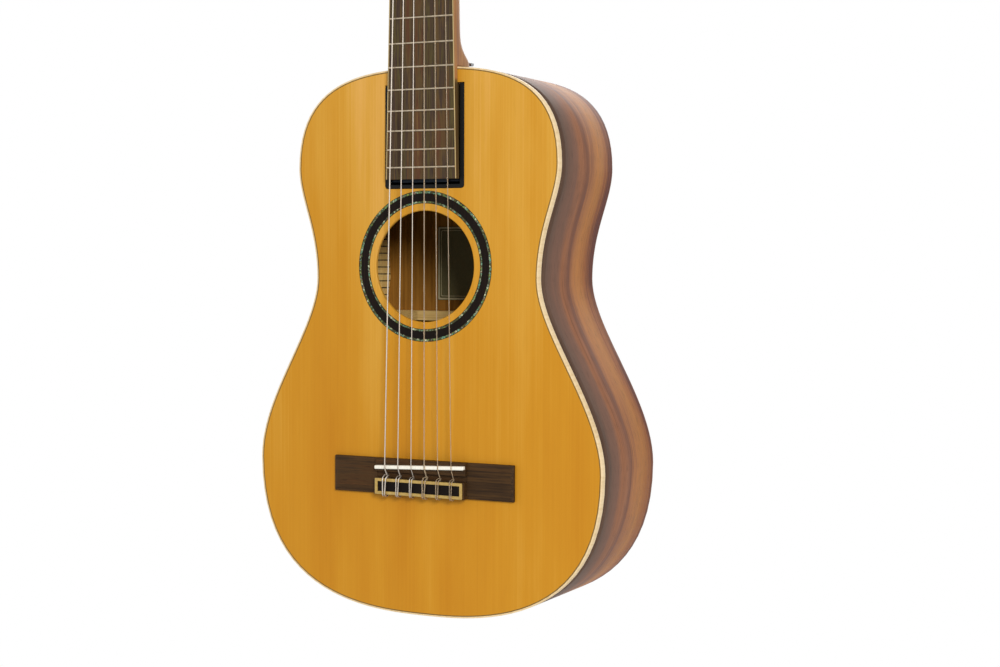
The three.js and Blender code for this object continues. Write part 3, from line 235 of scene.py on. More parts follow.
@dataclass(frozen=True)
class Wood(Finish):
    """Planed wood: growth lines, broad drifts of colour and open pores under lacquer.

    Attributes:
        stops: Colours from the darkest line to the lightest wood.
        pores: Colour that the pores sink towards.
        grain: Which way the fibres run.
        line_mm: Spacing of the growth lines.
        line_length_mm: How far a line runs before it strays.
        drift_mm: Width of the broad drifts.
        drift_share: Their share in the tone, the lines having the rest.
        pore_mm: Width of a pore.
        pore_share: How strongly the pores darken the wood.
        pore_span: Part of the noise that opens a pore.
        tone_span: Part of the mixed noise that the colour stops are spread over.
    """

    stops: Stops = ((0.0, "#8a6240"), (1.0, "#c9a070"))
    pores: str = "#2a1a10"
    grain: Grain = Grain.UPRIGHT
    line_mm: float = 1.2
    line_length_mm: float = 400
    drift_mm: float = 40
    drift_share: float = 0.4
    pore_mm: float = 0.5
    pore_share: float = 0.2
    pore_span: tuple[float, float] = (0.56, 0.68)
    tone_span: tuple[float, float] = (0.3, 0.7)

    def place(self, tree: Tree) -> Socket:
        """Gives the coordinates that the wood is drawn on, in metres."""
        return add_node(tree, "TexCoord").outputs["Object"]

    def streaks(self, tree: Tree, place: Socket, across_mm: float, along_mm: float) -> Socket:
        """Draws streaks along the fibres.

        Args:
            tree: The material's node tree.
            place: Coordinates in metres.
            across_mm: Width of a streak.
            along_mm: Its length.

        Returns:
            A socket from 0 to 1.
        """
        scale = self.grain.scales(across_mm, along_mm)
        mapping = add_node(tree, "Mapping", {"Scale": scale}, {"Vector": place})
        settings = {"Scale": 1.0, "Detail": 3.0, "Roughness": 0.55, "Distortion": 0.15}
        return add_node(tree, "TexNoise", settings, {"Vector": mapping.outputs[0]}).outputs[0]

    def tone(self, tree: Tree, place: Socket, lines: Socket, drift: Socket) -> Socket:
        """Mixes lines and drifts to the tone that the colour stops are read at."""
        mixed = add_node(tree, "Mix", {0: self.drift_share}, {2: lines, 3: drift})
        settings = {"From Min": self.tone_span[0], "From Max": self.tone_span[1]}
        return add_node(tree, "MapRange", settings, {"Value": mixed.outputs[0]}).outputs[0]

    def paint(self, tree: Tree, shader: Node) -> None:
        """Draws the wood."""
        place = self.place(tree)
        lines = self.streaks(tree, place, self.line_mm, self.line_length_mm)
        drift = self.streaks(tree, place, self.drift_mm, self.drift_mm * 9)
        tone = self.tone(tree, place, lines, drift)
        wood = add_node(tree, "ValToRGB", {}, {0: tone}, self.stops)
        open_pores = self.streaks(tree, place, self.pore_mm, self.pore_mm * 22)
        low, high = self.pore_span
        settings = {"From Min": low, "From Max": high, "To Max": self.pore_share}
        dark = add_node(tree, "MapRange", settings, {"Value": open_pores})
        settings = {"data_type": "RGBA", 7: linear(self.pores)}
        pored = add_node(tree, "Mix", settings, {0: dark.outputs[0], 6: wood.outputs[0]})
        self.relieve(tree, shader, pored.outputs[2], lines)


@dataclass(frozen=True)
class BentWood(Wood):
    """A bent side: its figure follows the rim, in bands from the front edge to the back.

    The fibres run along the piece's own grain_run attribute, which holds the run in metres.
    """

    front_mm: float = -53.0
    back_mm: float = 53.0
    stray_share: float = 0.55

    def place(self, tree: Tree) -> Socket:
        """Gives coordinates whose Z runs along the rim."""
        here = add_node(tree, "TexCoord").outputs["Object"]
        parts = add_node(tree, "SeparateXYZ", {}, {0: here})
        run = add_node(tree, "Attribute", {"attribute_name": "grain_run"})
        links = {0: parts.outputs[1], 2: run.outputs["Fac"]}
        return add_node(tree, "CombineXYZ", {}, links).outputs[0]

    def tone(self, tree: Tree, place: Socket, lines: Socket, drift: Socket) -> Socket:
        """Reads the bands across the rim, strayed by the drifts and the lines."""
        parts = add_node(tree, "SeparateXYZ", {}, {0: place})
        settings = {"From Min": self.front_mm * MM, "From Max": self.back_mm * MM}
        across = add_node(tree, "MapRange", settings, {"Value": parts.outputs[0]})
        mixed = add_node(tree, "Mix", {0: self.drift_share}, {2: lines, 3: drift})
        stray = {"operation": "MULTIPLY_ADD", 1: self.stray_share, 2: -self.stray_share / 2}
        moved = add_node(tree, "Math", stray, {0: mixed.outputs[0]})
        links = {0: across.outputs[0], 1: moved.outputs[0]}
        return add_node(tree, "Math", {"operation": "ADD"}, links).outputs[0]


@dataclass(frozen=True)
class BookMatchedWood(Wood):
    """Two leaves opened like a book, so the figure is the same on both sides of the middle."""

    def place(self, tree: Tree) -> Socket:
        """Gives coordinates that mirror at the middle."""
        here = add_node(tree, "TexCoord").outputs["Object"]
        parts = add_node(tree, "SeparateXYZ", {}, {0: here})
        mirrored = add_node(tree, "Math", {"operation": "ABSOLUTE"}, {0: parts.outputs[0]})
        links = {0: mirrored.outputs[0], 1: parts.outputs[1], 2: parts.outputs[2]}
        return add_node(tree, "CombineXYZ", {}, links).outputs[0]


@dataclass(frozen=True)
class HeightShadedWood(Wood):
    """Wood whose tone rises with the height: painted shade low down and painted light high up.

    Attributes:
        dark_mm: Height below which it is darkest.
        pale_mm: Height from which it is palest.
        fade_share: Share of the height in the tone.
    """

    dark_mm: float = 120.0
    pale_mm: float = 430.0
    fade_share: float = 0.38

    def tone(self, tree: Tree, place: Socket, lines: Socket, drift: Socket) -> Socket:
        """Raises the tone with the height."""
        parts = add_node(tree, "SeparateXYZ", {}, {0: place})
        settings = {"From Min": self.dark_mm * MM, "From Max": self.pale_mm * MM}
        faded = add_node(tree, "MapRange", settings, {"Value": parts.outputs[2]})
        plain = super().tone(tree, place, lines, drift)
        links = {2: plain, 3: faded.outputs[0]}
        return add_node(tree, "Mix", {0: self.fade_share}, links).outputs[0]


@dataclass(frozen=True)
class KerfedWood(Wood):
    """Lining sawn into small blocks, with each kerf between them drawn as a dark stripe of painted
    shade.
    """

    kerf_mm: float = 5.9
    kerf_share: float = 0.16

    def tone(self, tree: Tree, place: Socket, lines: Socket, drift: Socket) -> Socket:
        """Drops the tone to the darkest stop in each kerf, as painted shade."""
        parts = add_node(tree, "SeparateXYZ", {}, {0: place})
        counted = {"operation": "MULTIPLY", 1: 1000 / self.kerf_mm}
        turns = add_node(tree, "Math", counted, {0: parts.outputs[2]})
        share = add_node(tree, "Math", {"operation": "FRACT"}, {0: turns.outputs[0]})
        wood = {"operation": "GREATER_THAN", 1: self.kerf_share}
        above = add_node(tree, "Math", wood, {0: share.outputs[0]})
        plain = super().tone(tree, place, lines, drift)
        lifted = add_node(tree, "MapRange", {"To Min": 0.5}, {"Value": plain})
        links = {0: lifted.outputs[0], 1: above.outputs[0]}
        return add_node(tree, "Math", {"operation": "MULTIPLY"}, links).outputs[0]


@dataclass(frozen=True)
class Mottled(Finish):
    """A fine-grained or moulded surface: two close tones in soft specks.

    Attributes:
        stops: Colours from the darkest speck to the lightest.
        speck_mm: Size of a speck.
        metallic: 1 for metal, 0 for the rest.
        see_through: How much light passes, for clear plastics.
        stretch: How much longer the specks are along Z, for brushed or drawn work.
    """

    stops: Stops = ((0.3, "#808080"), (0.7, "#909090"))
    speck_mm: float = 0.6
    metallic: float = 0.0
    see_through: float = 0.0
    stretch: float = 1.0

    def paint(self, tree: Tree, shader: Node) -> None:
        """Draws the specks."""
        shader.inputs["Metallic"].default_value = self.metallic
        shader.inputs["Transmission Weight"].default_value = self.see_through
        here = add_node(tree, "TexCoord").outputs["Object"]
        fine = 1000 / self.speck_mm
        scale = (fine, fine, fine / self.stretch)
        mapping = add_node(tree, "Mapping", {"Scale": scale}, {"Vector": here})
        settings = {"Scale": 1.0, "Detail": 4.0, "Roughness": 0.6}
        specks = add_node(tree, "TexNoise", settings, {"Vector": mapping.outputs[0]})
        colour = add_node(tree, "ValToRGB", {}, {0: specks.outputs[0]}, self.stops)
        self.relieve(tree, shader, colour.outputs[0], specks.outputs[0])


@dataclass(frozen=True)
class ShellMosaic(Finish):
    """Chips of iridescent shell laid edge to edge in dark filler and polished flat.

    Attributes:
        stops: Colours of the chips, read by a random number for each chip.
        filler: Colour between the chips.
        chip_mm: Size of a chip.
    """

    stops: Stops = ()
    filler: str = "#2b2a22"
    chip_mm: float = 2.6

    def paint(self, tree: Tree, shader: Node) -> None:
        """Draws the chips and their filler."""
        here = add_node(tree, "TexCoord").outputs["Object"]
        scale = 1000 / self.chip_mm
        chips = add_node(tree, "TexVoronoi", {"Scale": scale}, {"Vector": here})
        random = add_node(tree, "SeparateColor", {}, {0: chips.outputs["Color"]})
        swirl = add_node(tree, "TexNoise", {"Scale": scale * 1.7, "Detail": 2.0}, {"Vector": here})
        mixed = add_node(tree, "Mix", {0: 0.25}, {2: random.outputs[0], 3: swirl.outputs[0]})
        colour = add_node(tree, "ValToRGB", {}, {0: mixed.outputs[0]}, self.stops)
        settings = {"Scale": scale, "feature": "DISTANCE_TO_EDGE"}
        edges = add_node(tree, "TexVoronoi", settings, {"Vector": here})
        settings = {"From Min": 0.02, "From Max": 0.09}
        inside = add_node(tree, "MapRange", settings, {"Value": edges.outputs["Distance"]})
        settings = {"data_type": "RGBA", 6: linear(self.filler)}
        links = {0: inside.outputs[0], 7: colour.outputs[0]}
        chipped = add_node(tree, "Mix", settings, links)
        self.relieve(tree, shader, chipped.outputs[2], swirl.outputs[0])


@dataclass(frozen=True)
class WoundWire(Finish):
    """Fine wire wound round a core. Its turns are drawn along the piece's wound_run attribute.

    Attributes:
        metal: Colour of a turn's crest.
        gap: Colour between two turns, darker as painted shade in the groove.
        turn_mm: Spacing of the drawn turns. The real ones, 0.2 mm apart, are too fine to show.
    """

    metal: str = "#c3b9ad"
    # Painted shade between the turns.
    gap: str = "#aca296"
    turn_mm: float = 0.9

    def paint(self, tree: Tree, shader: Node) -> None:
        """Draws the turns."""
        shader.inputs["Metallic"].default_value = 1.0
        run = add_node(tree, "Attribute", {"attribute_name": "wound_run"})
        turns = {"operation": "MULTIPLY", 1: FULL_TURN * 1000 / self.turn_mm}
        angle = add_node(tree, "Math", turns, {0: run.outputs["Fac"]})
        wave = add_node(tree, "Math", {"operation": "SINE"}, {0: angle.outputs[0]})
        crest = add_node(tree, "MapRange", {"From Min": -1.0}, {"Value": wave.outputs[0]})
        stops = ((0.1, self.gap), (0.6, self.metal))
        colour = add_node(tree, "ValToRGB", {}, {0: crest.outputs[0]}, stops)
        self.relieve(tree, shader, colour.outputs[0], crest.outputs[0])


@dataclass(frozen=True)
class Finishes:
    """Every finish of the guitar."""

    # Western red cedar under satin lacquer: warm amber with fine straight upright lines, painted
    # paler towards the neck, which is painted light standing in for the lamp's fall-off down the
    # top.
    cedar: Finish = HeightShadedWood(
        "cedar_top", roughness=0.45, specular=0.2, bump_mm=0.008,
        stops=((0.0, "#ba7912"), (0.4, "#c3861c"), (0.7, "#cc9533"), (1.0, "#d8a352")),
        pores="#a8741a", line_mm=1.3, line_length_mm=700, drift_mm=30, drift_share=0.72,
        pore_mm=0.9, pore_share=0.12,
    )
    # Rosewood sides bent along the rim: red-brown in the middle and orange behind as the wood's own
    # tone, with the smoky grey-brown in front a painted sheen in the colour that stands in for the
    # grey reflection there.
    bent_rosewood: Finish = BentWood(
        "rosewood_side", roughness=0.45, specular=0.07, bump_mm=0.02,
        stops=(
            (0.0, "#46342a"), (0.12, "#5f493c"), (0.3, "#775443"), (0.42, "#94603f"),
            (0.52, "#6f4029"), (0.62, "#ac6d3a"), (0.74, "#c7823b"), (0.86, "#b56b2f"),
            (0.96, "#6e2f18"),
        ),
        pores="#1f120b", line_mm=1.6, line_length_mm=200, drift_mm=17, drift_share=0.65,
        pore_share=0.55,
    )
    # The back's two rosewood leaves, opened like a book under satin lacquer.
    matched_rosewood: Finish = BookMatchedWood(
        "rosewood_back", roughness=0.42, specular=0.2, bump_mm=0.02,
        stops=(
            (0.0, "#3c2319"), (0.35, "#6a4029"), (0.6, "#8d5a38"), (0.8, "#7a4630"),
            (1.0, "#a8703f"),
        ),
        pores="#1f120b", line_mm=2.4, line_length_mm=320, drift_mm=24, drift_share=0.6,
        pore_share=0.45,
    )
    # Oiled rosewood of the fretboard: nearly black streaks in a brown ground, hardly any shine.
    board_rosewood: Finish = Wood(
        "rosewood_fretboard", roughness=0.55, specular=0.15, bump_mm=0.03,
        stops=(
            (0.0, "#2b1e15"), (0.2, "#443321"), (0.36, "#504526"), (0.5, "#3d2e27"),
            (0.64, "#574427"), (0.8, "#533322"), (1.0, "#6a4f2d"),
        ),
        pores="#150d08", line_mm=3.2, line_length_mm=220, drift_mm=9, drift_share=0.55,
        pore_share=0.6,
    )
    # The same wood with its fibres across the bridge.
    bridge_rosewood: Finish = Wood(
        "rosewood_bridge", roughness=0.5, specular=0.12, bump_mm=0.03,
        stops=(
            (0.0, "#1f1309"), (0.35, "#342312"), (0.6, "#463018"), (0.8, "#402813"),
            (1.0, "#5e4022"),
        ),
        pores="#120a06", grain=Grain.ACROSS, line_mm=1.3, line_length_mm=120, drift_mm=6,
        drift_share=0.45, pore_share=0.6,
    )
    # Mahogany neck with open pores under satin lacquer.
    mahogany: Finish = Wood(
        "mahogany_neck", roughness=0.42, specular=0.2, bump_mm=0.03,
        stops=((0.0, "#7c5030"), (0.4, "#9a693f"), (0.7, "#aa7a48"), (1.0, "#bc8c56")),
        pores="#4a2a17", line_mm=1.4, line_length_mm=120, drift_mm=16, pore_mm=0.45, pore_share=0.5,
    )
    # The tongue and the board's sides: painted shade, a darker olive brown, as far as they sink
    # into the pocket, and plain mahogany above it.
    pocket_shaded_mahogany: Finish = HeightShadedWood(
        "mahogany_tongue", roughness=0.5, specular=0.12, bump_mm=0.03,
        stops=(
            (0.0, "#3f301a"), (0.3, "#5f4b2c"), (0.5, "#74592f"), (0.65, "#9a693f"),
            (1.0, "#bc8c56"),
        ),
        pores="#4a2a17", line_mm=1.4, line_length_mm=120, drift_mm=16, pore_mm=0.45, pore_share=0.4,
        dark_mm=426.0, pale_mm=431.0, fade_share=0.6,
    )
    # The board's upper edges: a pale tan line of painted highlight, standing in for the light that
    # the eased edges catch.
    painted_edge_highlight: Finish = Wood(
        "rosewood_edge_highlight", roughness=0.5, specular=0.2,
        stops=((0.0, "#9c8658"), (0.5, "#b29c6c"), (1.0, "#c8b484")), pores="#7d6840", line_mm=1.2,
        line_length_mm=60, pore_share=0.2,
    )
    # The neck's wood, left raw on the blocks inside.
    raw_mahogany: Finish = Wood(
        "mahogany_block", roughness=0.75, stops=((0.0, "#7a4f33"), (1.0, "#a87a52")),
        grain=Grain.DEEP, pore_share=0.4,
    )
    # The back's inner face, left raw: orange brown with broad dark upright streaks.
    raw_rosewood: Finish = Wood(
        "rosewood_raw", roughness=0.75, specular=0.1,
        stops=((0.0, "#583510"), (0.4, "#926324"), (0.7, "#ad772f"), (1.0, "#c88f43")),
        pores="#4a2c12", line_mm=2.6, line_length_mm=260, drift_mm=18, drift_share=0.7,
        pore_share=0.2,
    )
    # Raw spruce of braces: pale with close reed lines.
    spruce: Finish = Wood(
        "spruce_brace", roughness=0.7, stops=((0.0, "#b48a46"), (0.5, "#dfb76c"), (1.0, "#ebc980")),
        grain=Grain.ACROSS, line_mm=1.1, line_length_mm=200, pore_share=0.1,
    )
    # Spruce lining with its saw kerfs, each drawn as a near black stripe of painted shade.
    kerfed_spruce: Finish = KerfedWood(
        "spruce_lining", roughness=0.75,
        stops=((0.0, "#20140c"), (0.3, "#cfa454"), (1.0, "#f0cf82")), grain=Grain.ACROSS,
        line_mm=1.1, line_length_mm=60,
    )
    # Flamed maple binding, pale cream under lacquer.
    maple: Finish = Wood(
        "maple_binding", roughness=0.36, specular=0.4, bump_mm=0.01,
        stops=((0.0, "#cfb07c"), (0.5, "#dfc496"), (1.0, "#ead2a9")), pores="#b8935e",
        grain=Grain.DEEP, line_mm=2.2, line_length_mm=30, pore_share=0.15,
    )
    # Dyed veneer line inside the binding, olive brown.
    dyed_veneer: Finish = Wood(
        "dyed_veneer", roughness=0.5, specular=0.25, stops=((0.0, "#65491a"), (1.0, "#8c6c2e")),
        line_mm=0.8,
    )
    # Abalone mosaic of the rosette: olive, green and pale chips in dark filler, a few of them rosy.
    shell: Finish = ShellMosaic(
        "shell_mosaic", roughness=0.3, specular=0.25, bump_mm=0.01,
        stops=(
            (0.0, "#1a1c12"), (0.2, "#4a4d24"), (0.34, "#1f2a22"), (0.44, "#7f9140"),
            (0.52, "#3a6b52"), (0.6, "#c9cda6"), (0.68, "#4f4a28"), (0.76, "#66a386"),
            (0.86, "#7d5648"), (1.0, "#20251b"),
        ),
        chip_mm=1.7,
    )
    # Ebony band of the rosette: almost black with faint brown streaks.
    ebony: Finish = Wood(
        "ebony_band", roughness=0.5, specular=0.08, bump_mm=0.01,
        stops=((0.0, "#0c0806"), (0.6, "#140d09"), (1.0, "#1f140e")), pores="#080605", line_mm=0.9,
        line_length_mm=60,
    )
    # Polished bone of saddle and nut: white, faintly streaked.
    bone: Finish = Mottled(
        "polished_bone", roughness=0.3, bump_mm=0.01, stops=((0.3, "#e6e1cf"), (0.7, "#f6f3e8")),
        speck_mm=1.5, stretch=5.0,
    )
    # Tan celluloid frame on the tie block, glossy with a soft cloud.
    tan_celluloid: Finish = Mottled(
        "tan_celluloid", roughness=0.3, coat=0.3, bump_mm=0.01,
        stops=((0.3, "#9a7c36"), (0.7, "#bb9b50")), speck_mm=3.0,
    )
    # Moulded black ABS of the pocket: near black with a fine matt texture.
    black_abs: Finish = Mottled(
        "moulded_black_abs", roughness=0.5, specular=0.15, bump_mm=0.03,
        stops=((0.3, "#0b0b0b"), (0.7, "#131312")), speck_mm=0.5,
    )
    # Blued steel of the bar and the hook in the pocket: near black with a cool dull gleam.
    blued_steel: Finish = Mottled(
        "blued_steel", roughness=0.45, bump_mm=0.01, stops=((0.3, "#1d2126"), (0.7, "#2b3037")),
        speck_mm=0.6, metallic=1.0,
    )
    # Brushed steel of pin, latch and strike plate.
    brushed_steel: Finish = Mottled(
        "brushed_steel", roughness=0.34, bump_mm=0.01, stops=((0.3, "#8a8c8f"), (0.7, "#a6a8ab")),
        speck_mm=0.35, metallic=1.0, stretch=14.0,
    )
    # Nickel plating of tuning machines, screws and strap button: pale, warm, polished.
    nickel: Finish = Mottled(
        "nickel_plate", roughness=0.22, spread=0.05, bump_mm=0.004,
        stops=((0.3, "#bdb9ae"), (0.7, "#d3d0c6")), speck_mm=2.0, metallic=1.0,
    )
    # Nickel silver of the fret wires: yellower than the plating and dulled by the strings.
    fret_wire: Finish = Mottled(
        "nickel_silver_wire", roughness=0.36, bump_mm=0.004,
        stops=((0.3, "#b3a48d"), (0.7, "#c8baa3")), speck_mm=2.0, metallic=1.0,
    )
    # Worn brass of the worms' gear wheels.
    brass: Finish = Mottled(
        "turned_brass", roughness=0.32, bump_mm=0.006, stops=((0.3, "#a5803f"), (0.7, "#c9a25a")),
        speck_mm=1.0, metallic=1.0,
    )
    # Ivory moulded nylon of the rollers.
    ivory_nylon: Finish = Mottled(
        "ivory_nylon", roughness=0.38, bump_mm=0.01, stops=((0.3, "#e2dbc6"), (0.7, "#efe9d8")),
        speck_mm=1.5,
    )
    # Pearloid of the buttons: white swirls deep under a gloss.
    pearloid: Finish = Mottled(
        "pearloid", roughness=0.18, coat=0.5, bump_mm=0.004,
        stops=((0.3, "#cfc8b8"), (0.45, "#f3efe6"), (0.55, "#ddd6c8"), (0.7, "#faf8f2")),
        speck_mm=4.5,
    )
    # Clear nylon of the treble strings: milky, so it nearly vanishes over the pale top.
    nylon: Finish = Mottled(
        "clear_nylon", roughness=0.4, specular=0.3, bump_mm=0.001,
        stops=((0.3, "#cbb495"), (0.7, "#d6c2a2")), speck_mm=9.0, see_through=0.7, stretch=20.0,
    )
    # Silver-plated wire wound on the bass strings.
    silver_winding: Finish = WoundWire("silver_winding", roughness=0.5, bump_mm=0.01)
    # Laid paper of the blank label, painted dark grey-green as shade inside the box.
    paper: Finish = Mottled(
        "shade_darkened_paper", roughness=0.9, specular=0.2, bump_mm=0.03,
        stops=((0.3, "#655f40"), (0.7, "#746d4b")), speck_mm=0.8,
    )
    # The same paper's pale printed border.
    paper_border: Finish = Mottled(
        "pale_paper", roughness=0.85, specular=0.2, stops=((0.3, "#bcb088"), (0.7, "#c8bd96")),
        speck_mm=0.8,
    )


FINISH = Finishes()


# Shapes


def chain(bm: BMesh, points: Iterable[Point], closed: bool = True) -> list[BMEdge]:
    """Draws edges through points.

    Args:
        bm: Mesh that takes them.
        points: The points, in millimetres.
        closed: Whether the last point joins the first.

    Returns:
        The edges in order.
    """
    verts = [bm.verts.new(point) for point in points]
    ends = verts[1:] + verts[:1] if closed else verts[1:]
    return [bm.edges.new(pair) for pair in zip(verts, ends)]


def bridge(bm: BMesh, first: list[BMEdge], second: list[BMEdge]) -> list[BMFace]:
    """Joins two chains with faces.

    Args:
        bm: Mesh that holds them.
        first: One chain.
        second: The other.

    Returns:
        The new faces.
    """
    return bmesh.ops.bridge_loops(bm, edges=first + second)["faces"]


def thicken(bm: BMesh, faces: list[BMFace], move: Point) -> list[BMFace]:
    """Extrudes faces by a vector.

    Args:
        bm: Mesh that holds them.
        faces: A flat sheet, or faces of a solid.
        move: The way and the distance.

    Returns:
        The moved faces.
    """
    made = bmesh.ops.extrude_face_region(bm, geom=faces)["geom"]
    bmesh.ops.translate(bm, verts=[g for g in made if isinstance(g, BMVert)], vec=move)
    bmesh.ops.recalc_face_normals(bm, faces=bm.faces)
    return [g for g in made if isinstance(g, BMFace)]


def prism(bm: BMesh, ring: Iterable[Point], move: Point) -> None:
    """Adds a solid of one flat outline, run along a vector.

    Args:
        bm: Mesh that takes it.
        ring: The outline.
        move: The way and the distance from the outline to the far face.
    """
    thicken(bm, bmesh.ops.contextual_create(bm, geom=chain(bm, ring))["faces"], move)


def loft(bm: BMesh, rings: Sequence[Iterable[Point]]) -> None:
    """Adds a solid through closed rings of equal count.

    Args:
        bm: Mesh that takes it.
        rings: The rings in order.
    """
    loops = [chain(bm, ring) for ring in rings]
    for low, high in zip(loops, loops[1:]):
        bridge(bm, low, high)
    for end in (loops[0], loops[-1]):
        bmesh.ops.edgeloop_fill(bm, edges=end)
    bmesh.ops.recalc_face_normals(bm, faces=bm.faces)


def turned(
    bm: BMesh, profile: Iterable[Point], centre: Point, axis: Point, steps: int = 32
) -> None:
    """Adds a solid turned on a lathe from an open profile that ends on the axis.

    Args:
        bm: Mesh that takes it.
        profile: Points from one end of the axis to the other.
        centre: A point on the axis.
        axis: The axis.
        steps: Steps round it.
    """
    edges = chain(bm, profile, closed=False)
    verts = list(dict.fromkeys(vert for edge in edges for vert in edge.verts))
    bmesh.ops.spin(
        bm, geom=[*verts, *edges], cent=centre, axis=axis, dvec=(0, 0, 0), angle=FULL_TURN,
        steps=steps, use_merge=True, use_duplicate=False,
    )
    bmesh.ops.remove_doubles(bm, verts=bm.verts, dist=0.0005)
    bmesh.ops.recalc_face_normals(bm, faces=bm.faces)


def rod(
    bm: BMesh,
    start: Point,
    end: Point,
    radius: float,
    steps: int = 24,
    end_radius: float | None = None,
) -> None:
    """Adds a round rod or cone between two points.

    Args:
        bm: Mesh that takes it.
        start: Centre of one end.
        end: Centre of the other.
        radius: Radius at the start.
        steps: Flat sides.
        end_radius: Radius at the end, if it differs.
    """
    low, high = Vector(start), Vector(end)
    turn = (high - low).to_track_quat("Z", "Y").to_matrix().to_4x4()
    bmesh.ops.create_cone(
        bm, cap_ends=True, segments=steps, radius1=radius,
        radius2=radius if end_radius is None else end_radius, depth=(high - low).length,
        matrix=Matrix.Translation((low + high) / 2) @ turn,
    )


def box(bm: BMesh, low: Point, high: Point) -> list[BMVert]:
    """Adds a box between two corners.

    Args:
        bm: Mesh that takes it.
        low: Lowest corner.
        high: Highest corner.

    Returns:
        Its corners.
    """
    a, b = Vector(low), Vector(high)
    verts = bmesh.ops.create_cube(bm, size=1.0)["verts"]
    bmesh.ops.scale(bm, vec=b - a, verts=verts)
    bmesh.ops.translate(bm, vec=(a + b) / 2, verts=verts)
    return verts


def round_edges(bm: BMesh, edges: list[BMEdge], width: float, steps: int) -> None:
    """Rounds edges, or cuts them flat when one step is asked.

    Args:
        bm: Mesh that holds them.
        edges: The edges.
        width: Width of the rounding.
        steps: Steps in it.
    """
    shape = {"affect": "EDGES", "profile": 0.5, "material": -1}
    bmesh.ops.bevel(bm, geom=edges, offset=width, segments=steps, **shape)


def stand(name: str, bm: BMesh) -> bpy.types.Object:
    """Puts a shape in the scene as an object.

    Args:
        name: The object's name.
        bm: Its shape, which is freed.

    Returns:
        The object.
    """
    mesh = bpy.data.meshes.new(name)
    bm.to_mesh(mesh)
    bm.free()
    thing = bpy.data.objects.new(name, mesh)
    bpy.context.scene.collection.objects.link(thing)
    return thing


def carve(body: BMesh, cutter: BMesh) -> None:
    """Cuts one closed shape out of another.

    Args:
        body: Shape that is cut.
        cutter: Shape that goes, which is freed.
    """
    held, tool = stand("body", body.copy()), stand("cutter", cutter)
    cut = held.modifiers.new("cut", "BOOLEAN")
    cut.operation = "DIFFERENCE"
    cut.solver = "EXACT"
    cut.object = tool
    cut.use_self = True
    bpy.context.view_layer.update()
    finished = held.evaluated_get(bpy.context.evaluated_depsgraph_get())
    result = bpy.data.meshes.new_from_object(finished)
    body.clear()
    body.from_mesh(result)
    bmesh.ops.dissolve_limit(body, angle_limit=0.002, verts=body.verts, edges=body.edges)
    for helper in (held, tool):
        mesh = helper.data
        bpy.data.objects.remove(helper)
        bpy.data.meshes.remove(mesh)
    bpy.data.meshes.remove(result)


def circle(radius: float, centre: Point, steps: int) -> list[Vector]:
    """Gives points round a circle that faces along Y.

    Args:
        radius: Its radius.
        centre: Its centre.
        steps: How many points.

    Returns:
        The points in order.
    """
    ring = []
    for i in range(steps):
        angle = FULL_TURN * i / steps
        offset = Vector((radius * math.cos(angle), 0, radius * math.sin(angle)))
        ring.append(Vector(centre) + offset)
    return ring


def round_rectangle(
    half: Point, centre: Point, corner: float, steps: int, place: Callable[[float, float], Point]
) -> list[Point]:
    """Gives points round a rectangle with round corners.

    Args:
        half: Half its width and half its height.
        centre: Its centre in its own plane.
        corner: Radius of its corners.
        steps: Steps in each corner.
        place: Turns a point of the plane to a point of the model.

    Returns:
        The points in order.
    """
    points = []
    for quarter, (sx, sy) in enumerate(((1, 1), (-1, 1), (-1, -1), (1, -1))):
        for i in range(steps + 1):
            angle = math.pi / 2 * (quarter + i / steps)
            x = centre[0] + sx * (half[0] - corner) + corner * math.cos(angle)
            y = centre[1] + sy * (half[1] - corner) + corner * math.sin(angle)
            points.append(place(x, y))
    return points


@dataclass(frozen=True)
class Edge:
    """How a piece's sharp edges are eased.

    Attributes:
        width: Width of the rounding.
        segments: Steps in it.
        angle: Faces that meet at more than this many degrees have an edge.
    """

    width: float = 0.3
    segments: int = 2
    angle: float = 32.0


def hand_over(
    name: str,
    bm: BMesh,
    finish: Finish,
    body: str | tuple[str, str],
    slot: str,
    nodes: Sequence[str] = (),
    edge: Edge | None = None,
    bend: tuple[Point, Point] | None = None,
) -> bpy.types.Object:
    """Turns a shape to a finished piece that rides on its body, or stands unattached when given two
    bodies.

    Args:
        name: The piece's name.
        bm: Its shape in millimetres, which is freed.
        finish: Its finish.
        body: The body that it rides on, or two bodies, with which the piece is left unattached and
            is not made to bend.
        slot: The record's material slot; not used.
        nodes: Nodes of the frame that it stands for.
        edge: How its edges are eased, if they are.
        bend: Where a bending piece starts and ends to turn; read but not used.

    Returns:
        The piece.
    """
    bmesh.ops.scale(bm, vec=(MM, MM, MM), verts=bm.verts)
    piece = stand(name, bm)
    mesh = piece.data
    mesh.shade_smooth()
    mesh.materials.append(finish.material())
    if edge is None:
        mesh.set_sharp_from_angle(angle=SHARP_ANGLE)
    else:
        eased = piece.modifiers.new("eased_edges", "BEVEL")
        eased.width = edge.width * MM
        eased.segments = edge.segments
        eased.limit_method = "ANGLE"
        eased.angle_limit = math.radians(edge.angle)
        eased.harden_normals = True
    if isinstance(body, tuple):
        start, end = (tuple(c * MM for c in point) for point in bend)
        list(body)
        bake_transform(piece)
        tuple(start)
        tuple(end)
    else:
        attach(piece, body)
    if nodes:
        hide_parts(*nodes)
    log.info("%s: %d faces, on %s", name, len(mesh.polygons), body)
    return piece


def dress(finish: Finish, *nodes: str) -> None:
    """Gives nodes of the frame that keep their shape a finish.

    Args:
        finish: The finish.
        nodes: The nodes' names.
    """
    for node in nodes:
        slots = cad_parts[node].data.materials
        slots.clear()
        slots.append(finish.material())
        log.info("%s: frame node in %s", node, finish.name)


# Shared places


